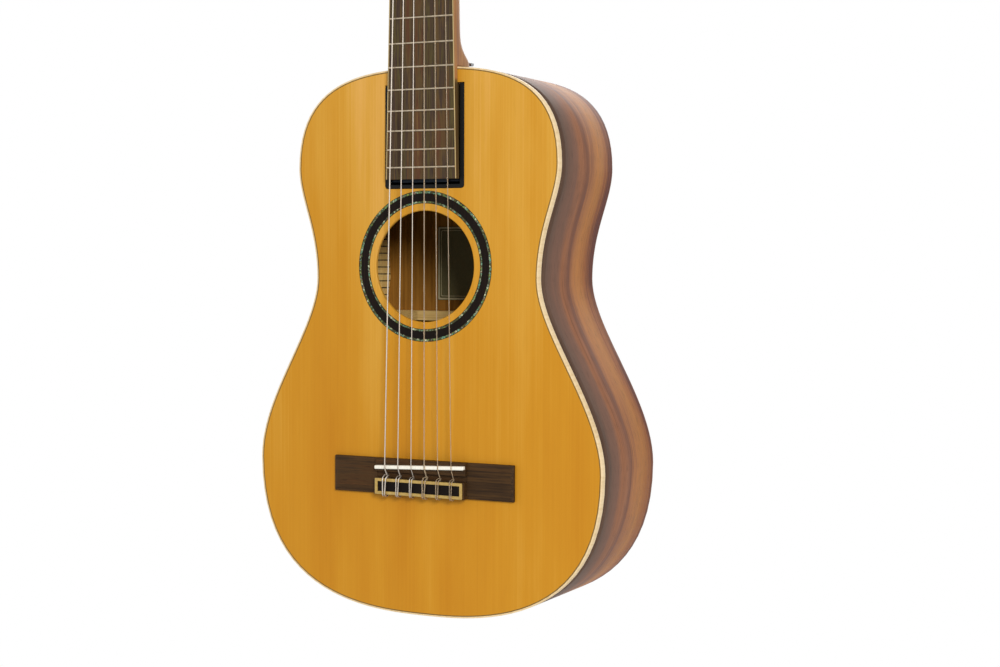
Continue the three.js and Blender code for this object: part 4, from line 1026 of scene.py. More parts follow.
@dataclass(frozen=True)
class Places:
    """Places and sizes that several sub-assemblies share.

    The rollers' rows and depth are in the head's own frame. The strings are given by their
    diameters, from the treble side.
    """

    face: float = -53.0
    back: float = 53.0
    tail: float = 8.8
    rim: float = 440.25
    hole_z: float = 284.9
    pocket_foot: float = 346.0
    pocket_head: float = 427.2
    board_foot: float = 353.0
    nut_z: float = 751.4
    foot_half: float = 31.2
    nut_half: float = 22.9
    board_top: float = -59.0
    neck_top: float = -53.5
    scale_foot: float = 129.1
    scale_length: float = 622.3
    pin: tuple[float, float] = (-19.0, 434.35)
    bar: tuple[float, float] = (-48.0, 352.0)
    head_root: tuple[float, float, float] = (0.0, -53.5, 757.0)
    head_angle: float = math.radians(15)
    head_half: float = 34.0
    rows: tuple[float, ...] = (45.0, 80.0, 115.0)
    roller_depth: float = 7.5
    roller_radius: float = 5.0
    strings: tuple[float, ...] = (0.72, 0.82, 1.0, 0.75, 0.9, 1.1)
    nut_spread: float = 37.0
    nut_action: float = 1.7
    fit: float = 0.3

    def board_half(self, z: float) -> float:
        """Half the fretboard's width at a height."""
        taper = (self.foot_half - self.nut_half) / (self.nut_z - self.board_foot)
        return self.nut_half + (self.nut_z - z) * taper

    def nut_x(self, i: int) -> float:
        """Where a string crosses the nut."""
        return self.nut_spread * (0.5 - i / 5)

    def at_head(self) -> Matrix:
        """Gives the turn from the head's own frame to the model's."""
        return Matrix.Translation(self.head_root) @ Matrix.Rotation(-self.head_angle, 4, "X")


AT = Places()


@dataclass(frozen=True)
class BodyOutline:
    """The body's outline: four cubic curves from tail to shoulder, mirrored at the middle."""

    tail_z: float = AT.tail
    steps: int = 24
    curves: tuple[Profile, ...] = (
        ((0, 0), (45.05, 0), (152.7, 0), (152.7, 119.1)),
        ((152.7, 119.1), (152.7, 169.6), (98.7, 226.7), (98.7, 266.3)),
        ((98.7, 266.3), (98.7, 306.55), (115.8, 329.75), (115.8, 354.8)),
        ((115.8, 354.8), (115.8, 426.55), (55.0, 431.45), (0, 431.45)),
    )

    def half(self, inset: float = 0.0, stops: Sequence[float] = ()) -> list[Vector]:
        """Gives the treble half from the tail up, moved inwards.

        Args:
            inset: How far it moves inwards.
            stops: Distances from the middle at which it has a point near the top.

        Returns:
            Points whose Y is 0.
        """
        line: list[Vector] = []
        for curve in self.curves:
            a, b, c, d = (Vector((x, 0, z)) for x, z in curve)
            points = interpolate_bezier(a, b, c, d, self.steps + 1)
            line += points if not line else points[1:]
        moved = []
        for i, point in enumerate(line):
            before, after = line[max(i - 1, 0)], line[min(i + 1, len(line) - 1)]
            way = (after - before).normalized()
            if i in (0, len(line) - 1):
                way = Vector((1 if i == 0 else -1, 0, 0))
            z = self.tail_z + point.z + way.x * inset
            moved.append(Vector((point.x - way.z * inset, 0, z)))
        for stop in stops:
            for i in range(len(moved) - 1, 0, -1):
                low, high = moved[i - 1], moved[i]
                if high.x < stop < low.x:
                    moved.insert(i, low.lerp(high, (low.x - stop) / (low.x - high.x)))
                    break
        return moved

    def ring(self, inset: float = 0.0) -> list[Vector]:
        """Gives the closed outline.

        Args:
            inset: How far it moves inwards.

        Returns:
            Points whose Y is 0, from the tail up the treble side and down the bass side.
        """
        half = self.half(inset)
        return half + [Vector((-p.x, 0, p.z)) for p in reversed(half[1:-1])]

    def open_ring(self, inset: float, gap: float) -> list[Vector]:
        """Gives the outline from the treble side of a gap at the top round to its bass side.

        Args:
            inset: How far it moves inwards.
            gap: Half the gap's width.

        Returns:
            Points whose Y is 0.
        """
        half = [p for p in self.half(inset, (gap,)) if p.z < 200 or p.x >= gap - 0.001]
        treble = list(reversed(half))
        return treble + [Vector((-p.x, 0, p.z)) for p in half[1:]]


OUTLINE = BodyOutline()


def lifted(points: Iterable[Vector], y: float) -> list[Vector]:
    """Moves points to a depth."""
    return [Vector((p.x, y, p.z)) for p in points]


# Body


@dataclass
class BodyShell:
    """Soundboard, binding, sides and back."""

    board_thickness: float = 2.6
    binding_width: float = 1.6
    binding_height: float = 5.4
    veneer_insets: tuple[float, float] = (1.25, 2.15)
    veneer_depth: float = 0.5
    proud: float = 0.03
    side_thickness: float = 2.4
    back_thickness: float = 3.0
    hole_radius: float = 43.7
    rosette_inner: float = 49.3
    rosette_outer: float = 59.3
    rosette_depth: float = 1.2
    notch_half: float = 35.3
    slot_half: float = 29.05
    notch_corner: float = 2.6
    lever_half: float = 6.75
    lever_span: tuple[float, float] = (-24.0, -9.5)
    slot_back: float = -38.85
    hole_ease: float = 0.5
    edge_ease: float = 0.35
    back_ease: float = 2.6
    back_ease_steps: int = 6
    circle_steps: int = 96

    def build(self) -> None:
        """Builds every piece of the shell."""
        self.soundboard()
        self.binding()
        self.veneer_line()
        self.side("treble_side", 1)
        self.side("bass_side", -1)
        self.back()
        self.strips()

    def board_edge(self) -> list[Vector]:
        """Gives the soundboard's edge with the pocket's notch in it."""
        rim = OUTLINE.open_ring(self.binding_width, self.slot_half)
        foot, head = AT.pocket_foot - AT.fit, AT.pocket_head + AT.fit
        corner, half = self.notch_corner, self.notch_half
        arc = [
            (corner * (1 - math.sin(a)), corner * (1 - math.cos(a)))
            for a in (math.pi / 2 * i / 5 for i in range(6))
        ]
        bass = [(-half + x, foot + z) for x, z in reversed(arc)]
        treble = [(half - x, foot + z) for x, z in arc]
        notch = [
            (-self.slot_half, head), (-half, head), *bass, *treble, (half, head),
            (self.slot_half, head),
        ]
        return lifted(rim, AT.face) + [Vector((x, AT.face, z)) for x, z in notch]

    def soundboard(self) -> None:
        """Builds the soundboard with its hole, the rosette's groove and the pocket's notch."""
        bm = bmesh.new()
        front, back = AT.face, AT.face + self.board_thickness
        rim = self.board_edge()
        near, far = chain(bm, rim), chain(bm, lifted(rim, back))
        ease = self.hole_ease
        steps = (
            (self.rosette_outer, front), (self.rosette_outer, front + self.rosette_depth),
            (self.rosette_inner, front + self.rosette_depth), (self.rosette_inner, front),
            (self.hole_radius + ease, front), (self.hole_radius, front + ease),
            (self.hole_radius, back),
        )
        rings = [chain(bm, circle(r, (0, y, AT.hole_z), self.circle_steps)) for r, y in steps]
        for first, second in zip(rings, rings[1:]):
            bridge(bm, first, second)
        bridge(bm, near, far)
        for edges in (near + rings[0], far + rings[-1]):
            bmesh.ops.triangle_fill(bm, use_beauty=False, edges=edges, normal=(0, -1, 0))
        bmesh.ops.recalc_face_normals(bm, faces=bm.faces)
        # The cedar's finish is painted paler towards the neck as painted light.
        hand_over("soundboard_cedar", bm, FINISH.cedar, "body", "top_wood", ["soundboard"])

    def edge_strip(self, section: Sequence[tuple[float, float]]) -> BMesh:
        """Makes a strip along the soundboard's edge, open at the neck.

        Args:
            section: Inset and depth of each corner of its section, in order.

        Returns:
            The strip.
        """
        bm = bmesh.new()
        lines = []
        for inset, depth in section:
            route = OUTLINE.open_ring(inset, self.slot_half)
            lines.append(chain(bm, lifted(route, AT.face + depth), closed=False))
        for first, second in zip(lines, lines[1:] + lines[:1]):
            bridge(bm, first, second)
        bmesh.ops.holes_fill(bm, edges=[edge for edge in bm.edges if edge.is_boundary])
        bmesh.ops.recalc_face_normals(bm, faces=bm.faces)
        return bm

    def binding(self) -> None:
        """Builds the maple strip round the front edge of the sides."""
        wide, high, ease = self.binding_width, self.binding_height, self.edge_ease
        corner = ((0, ease), (0.3 * ease, 0.3 * ease), (ease, 0))
        bm = self.edge_strip(((0, high), *corner, (wide, 0), (wide, high)))
        hand_over("maple_binding_strip", bm, FINISH.maple, "body", "binding_wood", ["binding"])

    def veneer_line(self) -> None:
        """Builds the dyed line over the seam between binding and soundboard."""
        (outer, inner), (front, back) = self.veneer_insets, (-self.proud, self.veneer_depth)
        bm = self.edge_strip(((outer, back), (outer, front), (inner, front), (inner, back)))
        hand_over("dyed_edge_veneer", bm, FINISH.dyed_veneer, "body", "binding_wood")

    def side(self, name: str, way: int) -> None:
        """Builds one bent side with its cut-outs at the neck.

        Args:
            name: The node that it stands for.
            way: 1 for the treble side, -1 for the bass side.
        """
        bm = bmesh.new()
        run_layer = bm.verts.layers.float.new("grain_run")
        front, rear = AT.face + self.binding_height, AT.back - self.back_thickness
        line = OUTLINE.half(0.0, (self.slot_half, self.lever_half))
        edges = chain(bm, [(way * p.x, front, p.z) for p in line], closed=False)
        run = 0.0
        for i, vert in enumerate([edges[0].verts[0], *(edge.verts[1] for edge in edges)]):
            run += (line[i] - line[i - 1]).length if i else 0.0
            vert[run_layer] = run * MM
        made = bmesh.ops.extrude_edge_only(bm, edges=edges)["geom"]
        verts = [g for g in made if isinstance(g, BMVert)]
        bmesh.ops.translate(bm, verts=verts, vec=(0, rear - front, 0))
        for y in (self.slot_back, *self.lever_span):
            geom = [*bm.verts, *bm.edges, *bm.faces]
            plane = {"plane_co": (0, y, 0), "plane_no": (0, 1, 0)}
            bmesh.ops.bisect_plane(bm, geom=geom, dist=CUT_SLACK, **plane)
        gone = [face for face in bm.faces if self.in_cut_out(face.calc_center_median())]
        bmesh.ops.delete(bm, geom=gone, context="FACES")
        bmesh.ops.recalc_face_normals(bm, faces=bm.faces)
        probe = max(bm.faces, key=lambda face: abs(face.calc_center_median().x))
        if probe.normal.x * way < 0:
            bmesh.ops.reverse_faces(bm, faces=bm.faces)
        # The sides' finish holds a painted sheen: the smoky grey-brown along the front.
        piece = hand_over(f"rosewood_{name}", bm, FINISH.bent_rosewood, "body", "side_wood", [name])
        wall = piece.modifiers.new("wall", "SOLIDIFY")
        wall.thickness = self.side_thickness * MM
        wall.offset = -1.0

    def in_cut_out(self, centre: Vector) -> bool:
        """Tells whether a face of a side lies in the neck's slot or the lever's opening."""
        across = abs(centre.x)
        slot = across < self.slot_half and centre.y < self.slot_back
        lever = across < self.lever_half and self.lever_span[0] < centre.y < self.lever_span[1]
        return centre.z > AT.pocket_foot and (slot or lever)

    def back(self) -> None:
        """Builds the back plate with its rounded edge."""
        bm = bmesh.new()
        rings = [lifted(OUTLINE.ring(), AT.back - self.back_thickness)]
        for k in range(self.back_ease_steps + 1):
            angle = math.pi / 2 * k / self.back_ease_steps
            inset = self.back_ease * (1 - math.cos(angle))
            depth = AT.back - self.back_ease * (1 - math.sin(angle))
            rings.append(lifted(OUTLINE.ring(inset), depth))
        loft(bm, rings)
        hand_over("rosewood_back_plate", bm, FINISH.matched_rosewood, "body", "side_wood", ["back"])

    def strips(self) -> None:
        """Builds the thin line down the back and the graft over the sides' joint at the tail."""
        bm = bmesh.new()
        low, high = AT.tail + self.back_ease, AT.rim - self.back_ease
        box(bm, (-1.1, AT.back - 0.4, low), (1.1, AT.back + self.proud, high))
        front, back = AT.face + self.binding_height, AT.back - self.back_ease
        box(bm, (-5, front, AT.tail - self.proud), (5, back, AT.tail + 0.6))
        hand_over("maple_centre_strips", bm, FINISH.maple, "body", "binding_wood")


@dataclass
class Rosette:
    """Two rings of shell mosaic with a dark band between them."""

    depth: float = 1.2
    proud: float = 0.04
    steps: int = 96
    radii: tuple[float, ...] = (49.35, 51.1, 57.2, 59.25)
    line: float = 0.4

    def build(self) -> None:
        """Builds the three rings and the dark lines that edge them."""
        inner, low, high, outer = self.radii
        rings = (
            ("shell_ring_inner", inner, low, FINISH.shell, "shell", "rosette_inner_ring"),
            ("ebony_rosette_band", low, high, FINISH.ebony, "dark_band", "rosette_band"),
            ("shell_ring_outer", high, outer, FINISH.shell, "shell", "rosette_outer_ring"),
        )
        for name, small, large, finish, slot, node in rings:
            bm = bmesh.new()
            centre = (0, AT.face - self.proud, AT.hole_z)
            loops = [chain(bm, circle(r, centre, self.steps)) for r in (small, large)]
            thicken(bm, bridge(bm, *loops), (0, self.depth, 0))
            hand_over(name, bm, finish, "body", slot, [node], Edge(0.08, 1))
        lines = bmesh.new()
        centre = (0, AT.face - 2 * self.proud, AT.hole_z)
        for small in (inner - 0.05, outer + 0.05 - self.line):
            edges = (small, small + self.line)
            loops = [chain(lines, circle(r, centre, self.steps)) for r in edges]
            thicken(lines, bridge(lines, *loops), (0, self.depth / 2, 0))
        hand_over("rosette_edge_lines", lines, FINISH.ebony, "body", "dark_band")


@dataclass
class Inside:
    """What shows through the soundhole: linings, braces, blocks and a blank label."""

    borders: Profile = ((0.5, 1.3), (3.2, 0.45))
    face_inset: float = 2.7
    face_thickness: float = 0.12

    def build(self) -> None:
        """Dresses the frame's own pieces, faces the back and lays the label."""
        dress(FINISH.kerfed_spruce, "front_lining", "back_lining")
        dress(FINISH.spruce, "upper_brace", "fan_bracing")
        dress(FINISH.spruce, "back_brace_lower", "back_brace_middle", "back_brace_upper")
        dress(FINISH.raw_mahogany, "neck_block", "tail_block")
        dress(FINISH.bridge_rosewood, "bridge_plate")
        self.back_face()
        self.label()

    def back_face(self) -> None:
        """Builds the raw inner face of the back."""
        bm = bmesh.new()
        depth = AT.back - BodyShell.back_thickness - self.face_thickness
        prism(bm, lifted(OUTLINE.ring(self.face_inset), depth), (0, self.face_thickness, 0))
        hand_over("raw_back_face", bm, FINISH.raw_rosewood, "body", "side_wood")

    def label(self) -> None:
        """Builds the blank label with its pale borders."""
        low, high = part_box("label")
        centre = ((low.x + high.x) / 2 / MM, (low.z + high.z) / 2 / MM)
        half = ((high.x - low.x) / 2 / MM, (high.z - low.z) / 2 / MM)
        front = low.y / MM
        sheet = bmesh.new()
        outline = round_rectangle(half, centre, 1.0, 4, lambda x, z: (x, front, z))
        prism(sheet, outline, (0, (high.y - low.y) / MM, 0))
        # The label's paper is painted dark as the shade inside the box.
        hand_over("blank_label", sheet, FINISH.paper, "body", "paper", ["label"])
        line = bmesh.new()
        for inset, width in self.borders:
            loops = []
            for edge in (inset, inset + width):
                size = (half[0] - edge, half[1] - edge)
                ring = round_rectangle(size, centre, 1.0, 3, lambda x, z: (x, front - 0.04, z))
                loops.append(chain(line, ring))
            thicken(line, bridge(line, *loops), (0, 0.06, 0))
        hand_over("label_border", line, FINISH.paper_border, "body", "paper")


# Bridge


@dataclass
class Bridge:
    """Rosewood bridge with its saddle and its tie block."""

    length: float = 160.4
    foot: float = 104.2
    width: float = 28.5
    wing: float = 4.0
    wing_bevel: float = 2.6
    wing_slope: float = 0.45
    centre: float = 80.4
    tie_width: float = 13.3
    tie_height: float = 9.0
    channel: float = 4.8
    channel_floor: float = 3.0
    ridge: float = 6.6
    saddle_length: float = 79.6
    saddle_thickness: float = 3.0
    saddle_top: float = 9.8
    saddle_floor: float = 2.9
    saddle_z: float = 127.2
    saddle_slant: float = 3.2
    saddle_ease: float = 1.0
    trim_length: float = 78.0
    trim_bar: float = 2.4
    trim_end: float = 2.4
    trim_height: float = 1.0
    panel_height: float = 0.25
    hole_height: float = 5.2
    hole_play: float = 0.35
    cutter_top: float = 20.0
    spread: float = 59.2

    def build(self) -> None:
        """Builds the bridge, the saddle and the trim."""
        self.body()
        self.saddle()
        self.trim()

    def string_x(self, i: int) -> float:
        """Where a string crosses the saddle."""
        return self.spread * (0.5 - i / 5)

    def body(self) -> None:
        """Builds the wings, the tie block and the saddle's ridge."""
        wings = bmesh.new()
        half, top = self.length / 2, AT.face - self.wing
        verts = box(wings, (-half, top, self.foot), (half, AT.face - 0.1, self.foot + self.width))
        upper = [
            e
            for e in dict.fromkeys(e for v in verts for e in v.link_edges)
            if all(abs(v.co.y - top) < 0.01 for v in e.verts)
        ]
        round_edges(wings, upper, self.wing_bevel, 1)
        verts = [v for v in wings.verts if top < v.co.y < AT.face - 0.2]
        space = Matrix.Translation((0, -top, 0))
        bmesh.ops.scale(wings, vec=(1, self.wing_slope, 1), space=space, verts=verts)
        cutter = bmesh.new()
        channel_foot = self.foot + self.tie_width
        box(
            cutter,
            (-self.centre / 2, AT.face - self.cutter_top, channel_foot),
            (self.centre / 2, AT.face - self.channel_floor, channel_foot + self.channel),
        )
        carve(wings, cutter)
        wood, slot = FINISH.bridge_rosewood, "board_wood"
        hand_over("bridge_base", wings, wood, "body", slot, ["bridge"], Edge(0.5))
        channel_head, head = channel_foot + self.channel, self.foot + self.width
        for name, low, high, height in (
            ("bridge_tie_block", self.foot, channel_foot, self.tie_height),
            ("bridge_saddle_ridge", channel_head, head, self.ridge),
        ):
            bm = bmesh.new()
            reach = self.centre / 2
            box(bm, (-reach, AT.face - height, low), (reach, AT.face - 1, high))
            carve(bm, self.bores(high) if height == self.tie_height else self.slot())
            hand_over(
                name, bm, FINISH.bridge_rosewood, "body", "board_wood", ["bridge"], Edge(0.5, 3)
            )

    def bores(self, head: float) -> BMesh:
        """Gives the strings' bores through the tie block, as a cutter."""
        cutter = bmesh.new()
        for i, diameter in enumerate(AT.strings):
            x, y = self.string_x(i), AT.face - self.hole_height
            radius = diameter / 2 + self.hole_play
            rod(cutter, (x, y, self.foot - 2), (x, y, head + 2), radius, 12)
        return cutter

    def slot(self) -> BMesh:
        """Gives the saddle's slot, as a cutter."""
        cutter = bmesh.new()
        half = self.saddle_length / 2 + 0.1
        self.slanted_bar(cutter, half, self.saddle_thickness / 2 + 0.05, self.cutter_top)
        return cutter

    def slanted_bar(self, bm: BMesh, half: float, thick: float, top: float) -> None:
        """Adds the saddle's bar, whose treble end stands higher up the body than its bass end.

        Args:
            bm: Mesh that takes it.
            half: Half its length.
            thick: Half its thickness.
            top: Its height above the soundboard.
        """
        corners = ((-half, -thick), (half, -thick), (half, thick), (-half, thick))
        slope = self.saddle_slant / self.saddle_length
        floor = AT.face - self.saddle_floor
        ring = [(x, floor, self.saddle_z + slope * x + side) for x, side in corners]
        prism(bm, ring, (0, self.saddle_floor - top, 0))

    def saddle(self) -> None:
        """Builds the bone saddle with its rounded crest and ends."""
        bm = bmesh.new()
        self.slanted_bar(bm, self.saddle_length / 2, self.saddle_thickness / 2, self.saddle_top)
        crest = AT.face - self.saddle_top
        ends = [
            e
            for e in bm.edges
            if abs(e.verts[0].co.x - e.verts[1].co.x) < 0.5
            or all(abs(v.co.y - crest) < 0.01 for v in e.verts)
        ]
        round_edges(bm, ends, self.saddle_ease, 4)
        hand_over("bone_saddle", bm, FINISH.bone, "body", "bone", ["saddle"])

    def trim(self) -> None:
        """Builds the tan frame on the tie block and the dark panel in it."""
        half = (self.trim_length / 2, self.tie_width / 2 - 0.3)
        hole = (half[0] - self.trim_end, half[1] - self.trim_bar)
        centre = (0.0, self.foot + self.tie_width / 2)
        seat = AT.face - self.tie_height
        bm = bmesh.new()
        loops = [
            chain(bm, round_rectangle(h, centre, corner, 3, lambda x, z: (x, seat, z)))
            for h, corner in ((half, 0.6), (hole, 0.3))
        ]
        thicken(bm, bridge(bm, *loops), (0, -self.trim_height, 0))
        tan, edge = FINISH.tan_celluloid, Edge(0.25)
        hand_over("tie_block_frame", bm, tan, "body", "tan_trim", ["tie_block_trim"], edge)
        panel = bmesh.new()
        low, high = centre[1] - hole[1], centre[1] + hole[1]
        box(panel, (-hole[0], seat - self.panel_height, low), (hole[0], seat + 0.1, high))
        hand_over("tie_block_panel", panel, FINISH.ebony, "body", "dark_band")


# Pocket, latch and strap button


@dataclass
class Pocket:
    """Black moulded pocket that takes the neck's tongue."""

    half: float = 35.1
    wall: float = 3.6
    end_wall: float = 3.0
    rim: float = 0.3
    depth: float = 16.6
    floor: float = 2.0
    corner: float = 2.6
    door_half: float = 9.0
    door_drop: float = 19.5

    def build(self) -> None:
        """Builds the pocket and dresses its bar."""
        bm = bmesh.new()
        front, back = AT.face - self.rim, AT.face + self.depth
        centre_z = (AT.pocket_foot + AT.pocket_head) / 2
        half = (self.half, (AT.pocket_head - AT.pocket_foot) / 2)
        outline = round_rectangle(half, (0, centre_z), self.corner, 6, lambda x, z: (x, front, z))
        prism(bm, outline, (0, back - front, 0))
        room = bmesh.new()
        inner = self.half - self.wall
        box(
            room,
            (-inner, AT.face - BEYOND, AT.pocket_foot + self.end_wall),
            (inner, back - self.floor, AT.pocket_head + BEYOND),
        )
        carve(bm, room)
        door = bmesh.new()
        box(
            door,
            (-self.door_half, AT.face + 1, AT.pin[1] - self.door_drop),
            (self.door_half, back + BEYOND, AT.pocket_head + BEYOND),
        )
        carve(bm, door)
        plastic, slot = FINISH.black_abs, "black_plastic"
        hand_over("moulded_pocket", bm, plastic, "body", slot, ["pocket_frame"], Edge(0.35))
        dress(FINISH.blued_steel, "hook_bar")
        dress(FINISH.brushed_steel, "latch_pin")


@dataclass
class Latch:
    """Thumb lever that locks the neck."""

    half: float = 6.4
    thumb_half: float = 24.5
    hub: float = 3.3
    arm: Profile = (
        (-3.3, 0), (-4.4, -3.3), (-4.4, -9.0), (-25.75, -9.0), (-25.75, -15.6), (-24.02, -15.6),
        (-22.85, -13.0), (0, -13.0), (0, 0),
    )
    stem: Profile = ((-1.8, 0), (1.8, 0), (1.8, 9.6), (-1.8, 9.6))
    thumb: Profile = ((-2, 9), (2, 9), (3, 10), (3, 11.3), (-1, 11.3), (-2, 9.3))
    grip_pitch: float = 2.2
    grip_radius: float = 0.35

    def build(self) -> None:
        """Builds the lever and the ridges that a thumb grips."""
        y, z = AT.pin
        bm = bmesh.new()
        halves = self.half, self.half, self.thumb_half
        for section, half in zip((self.arm, self.stem, self.thumb), halves):
            prism(bm, [(-half, y + a, z + b) for a, b in section], (2 * half, 0, 0))
        rod(bm, (-self.half, y, z), (self.half, y, z), self.hub, 32)
        hand_over(
            "thumb_lever", bm, FINISH.brushed_steel, "latch", "steel", ["latch_lever"], Edge(0.4, 3)
        )
        ridges = bmesh.new()
        (front, _), (back, top) = self.thumb[4], self.thumb[3]
        count = math.floor((self.thumb_half - 2) / self.grip_pitch)
        for k in range(-count, count + 1):
            x = k * self.grip_pitch
            start, end = (x, y + front + 0.5, z + top), (x, y + back - 0.5, z + top)
            rod(ridges, start, end, self.grip_radius, 10)
        hand_over("thumb_ridges", ridges, FINISH.brushed_steel, "latch", "steel")


@dataclass
class StrapButton:
    """Turned strap button with its screw."""

    profile: Profile = (
        (0, 1.0), (2.6, 0.9), (3.1, 0.25), (4.6, 0.0), (6.4, 0.15), (7.6, 0.6), (8.0, 1.3),
        (7.8, 2.0), (6.6, 2.6), (5.0, 3.1), (4.1, 3.9), (4.0, 4.9), (4.5, 5.8), (5.6, 6.5),
        (6.4, 7.3), (6.5, 8.4), (6.1, 8.75), (0, 8.75),
    )

    def build(self) -> None:
        """Builds the button."""
        bm = bmesh.new()
        turned(bm, [(radius, 0, z) for radius, z in self.profile], (0, 0, 0), (0, 0, 1), 48)
        cutter = bmesh.new()
        for quarter in (0, math.pi / 2):
            verts = box(cutter, (-2.2, -0.35, -1), (2.2, 0.35, 2.2))
            turn = Matrix.Rotation(quarter, 3, "Z")
            bmesh.ops.rotate(cutter, verts=verts, cent=(0, 0, 0), matrix=turn)
        carve(bm, cutter)
        hand_over("turned_strap_button", bm, FINISH.nickel, "body", "nickel", ["strap_button"])


# Neck


@dataclass
class Neck:
    """Mahogany neck: heel, shaft and slotted head, with the tongue that hooks into the body."""

    depth_at_heel: float = 17.2
    depth_at_nut: float = 15.5
    heel_depth: float = 11.5
    heel_crest: float = 3.3
    heel_reach: float = 8.4
    heel_power: float = 1.5
    roundness: float = 2.9
    heel_roundness: float = 3.2
    section_steps: int = 32
    head_length: float = 146.0
    head_thickness: float = 18.0
    head_shoulder: float = 24.0
    head_crest: float = 5.0
    slot_inner: float = 7.5
    slot_outer: float = 24.5
    slot_foot: float = 12.5
    slot_head: float = 128.0
    bore_span: tuple[float, float] = (2.2, 44.0)
    bore_radius: float = 5.35
    tongue_half: float = 28.4
    tongue_depth: float = 13.5
    tongue_foot: float = 357.3
    hook_half: float = 20.0
    leg_thickness: float = 2.7
    leg_length: float = 28.0
    hook_mouth: float = 2.35
    hook_lip: float = 1.5
    mouth_steps: int = 16
    hook_front: float = 4.8
    hook_screws: tuple[float, float] = (14.0, 26.0)
    strike_half: float = 13.0
    strike_thickness: float = 2.0
    strike_span: tuple[float, float] = (-20.5, 2.5)
    strike_hole_half: float = 6.75
    strike_hole: tuple[float, float] = (-13.35, 0.5)
    strike_screws: tuple[float, float] = (-17.0, -1.0)
    seat_depth: float = 2.3
    nose_half: float = 7.05
    nose_span: tuple[float, float] = (-17.3, 2.2)
    screw_sunk: float = 0.6
    screw_proud: float = 0.12
    veneer_face: float = -2.3
    veneer_thickness: float = 2.25
    nut_half: float = 22.25
    nut_rise: float = 2.7
    nut_thickness: float = 5.4

    def build(self) -> None:
        """Builds the wooden neck and the steel let into it."""
        self.wood()
        self.tongue()
        self.headplate()
        self.nut()
        self.hook()
        self.strike_plate()

    def section(self, half: float, depth: float, roundness: float) -> list[tuple[float, float]]:
        """Gives a half-round section, flat in front.

        Args:
            half: Half its width.
            depth: How deep it is.
            roundness: 2 for an ellipse, more for squarer shoulders.

        Returns:
            Offsets across and back.
        """
        points = []
        for i in range(self.section_steps + 1):
            angle = math.pi * i / self.section_steps
            c, s = math.cos(angle), max(math.sin(angle), 0.0)
            across = half * math.copysign(abs(c) ** (2 / roundness), c)
            points.append((across, depth * s ** (2 / roundness)))
        return points

    def wood(self) -> None:
        """Builds the shaft and the head in one piece and cuts the head's slots and bores."""
        rings: list[list[Point]] = []
        foot, nut_end = AT.rim + AT.fit, AT.head_root[2]
        crest = foot + self.heel_crest
        stations = [foot, *(crest + self.heel_reach * k / 8 for k in range(25))]
        stations += [stations[-1] + (nut_end - 24 - stations[-1]) * k / 6 for k in range(1, 7)]
        for z in stations:
            heel = math.exp(-((max(z - crest, 0.0) / self.heel_reach) ** self.heel_power))
            along = (z - foot) / (nut_end - foot)
            depth = self.depth_at_heel + (self.depth_at_nut - self.depth_at_heel) * along
            depth += self.heel_depth * heel
            half = AT.board_half(min(z, AT.nut_z)) - AT.fit
            section = self.section(half, depth, self.roundness + self.heel_roundness * heel)
            rings.append([(x, AT.neck_top + y, z) for x, y in section])
        turn = AT.at_head()
        half = AT.board_half(AT.nut_z) - AT.fit
        for share in (0.35, 0.7):
            blend = self.section(half, 15.6 + 1.6 * share, self.roundness + 3.1 * share)
            z = nut_end - 24 + 22 * share
            tilt = math.tan(AT.head_angle) * share
            rings.append([(x, AT.neck_top + y, z - y * tilt * 0.9) for x, y in blend])
        for z, reach in ((0.0, half), (3.0, half + 1.5), (self.head_shoulder, AT.head_half)):
            square = self.section(reach, self.head_thickness, 6.0 + z)
            rings.append([turn @ Vector((x, y, z)) for x, y in square])
        square = self.section(AT.head_half, self.head_thickness, 30.0)
        rings.append([turn @ Vector((x, y, self.head_length)) for x, y in square])
        bm = bmesh.new()
        loft(bm, rings)
        self.round_crest(bm, turn)
        for side in (-1, 1):
            slot = bmesh.new()
            prism(slot, self.slot_ring(side, -BEYOND), (0, self.head_thickness + 2 * BEYOND, 0))
            bmesh.ops.transform(slot, matrix=turn, verts=slot.verts)
            carve(bm, slot)
            bores = bmesh.new()
            for z in AT.rows:
                start, end = ((side * x, AT.roller_depth, z) for x in self.bore_span)
                rod(bores, start, end, self.bore_radius)
            bmesh.ops.transform(bores, matrix=turn, verts=bores.verts)
            carve(bm, bores)
        wood, edge = FINISH.mahogany, Edge(0.5)
        hand_over("mahogany_neck_and_head", bm, wood, "neck", "neck_wood", ["neck"], edge)

    def round_crest(self, bm: BMesh, turn: Matrix) -> None:
        """Cuts the head's end to a shallow arch.

        Args:
            bm: The neck.
            turn: The head's turn.
        """
        reach = 6
        for k in range(-reach, reach + 1):
            x = AT.head_half * k / reach
            drop = self.head_crest * (k / reach) ** 2
            slope = -2 * self.head_crest * x / AT.head_half**2
            point = turn @ Vector((x, 0, self.head_length - drop))
            normal = turn.to_3x3() @ Vector((-slope, 0, 1))
            geom = [*bm.verts, *bm.edges, *bm.faces]
            made = bmesh.ops.bisect_plane(
                bm, geom=geom, dist=CUT_SLACK, plane_co=point, plane_no=normal, clear_outer=True
            )
            edges = [g for g in made["geom_cut"] if isinstance(g, BMEdge)]
            if edges:
                bmesh.ops.edgeloop_fill(bm, edges=[e for e in edges if e.is_boundary])

    def slot_ring(self, side: int, y: float) -> list[Point]:
        """Gives one head slot's outline with round ends, in the head's frame.

        Args:
            side: 1 for the treble slot, -1 for the bass slot.
            y: Its depth.

        Returns:
            The points in order.
        """
        inner, outer, foot, head = self.slot_inner, self.slot_outer, self.slot_foot, self.slot_head
        centre = (side * (inner + outer) / 2, (foot + head) / 2)
        half = ((outer - inner) / 2, (head - foot) / 2)
        return round_rectangle(half, centre, half[0] - 0.01, 10, lambda x, z: (x, y, z))

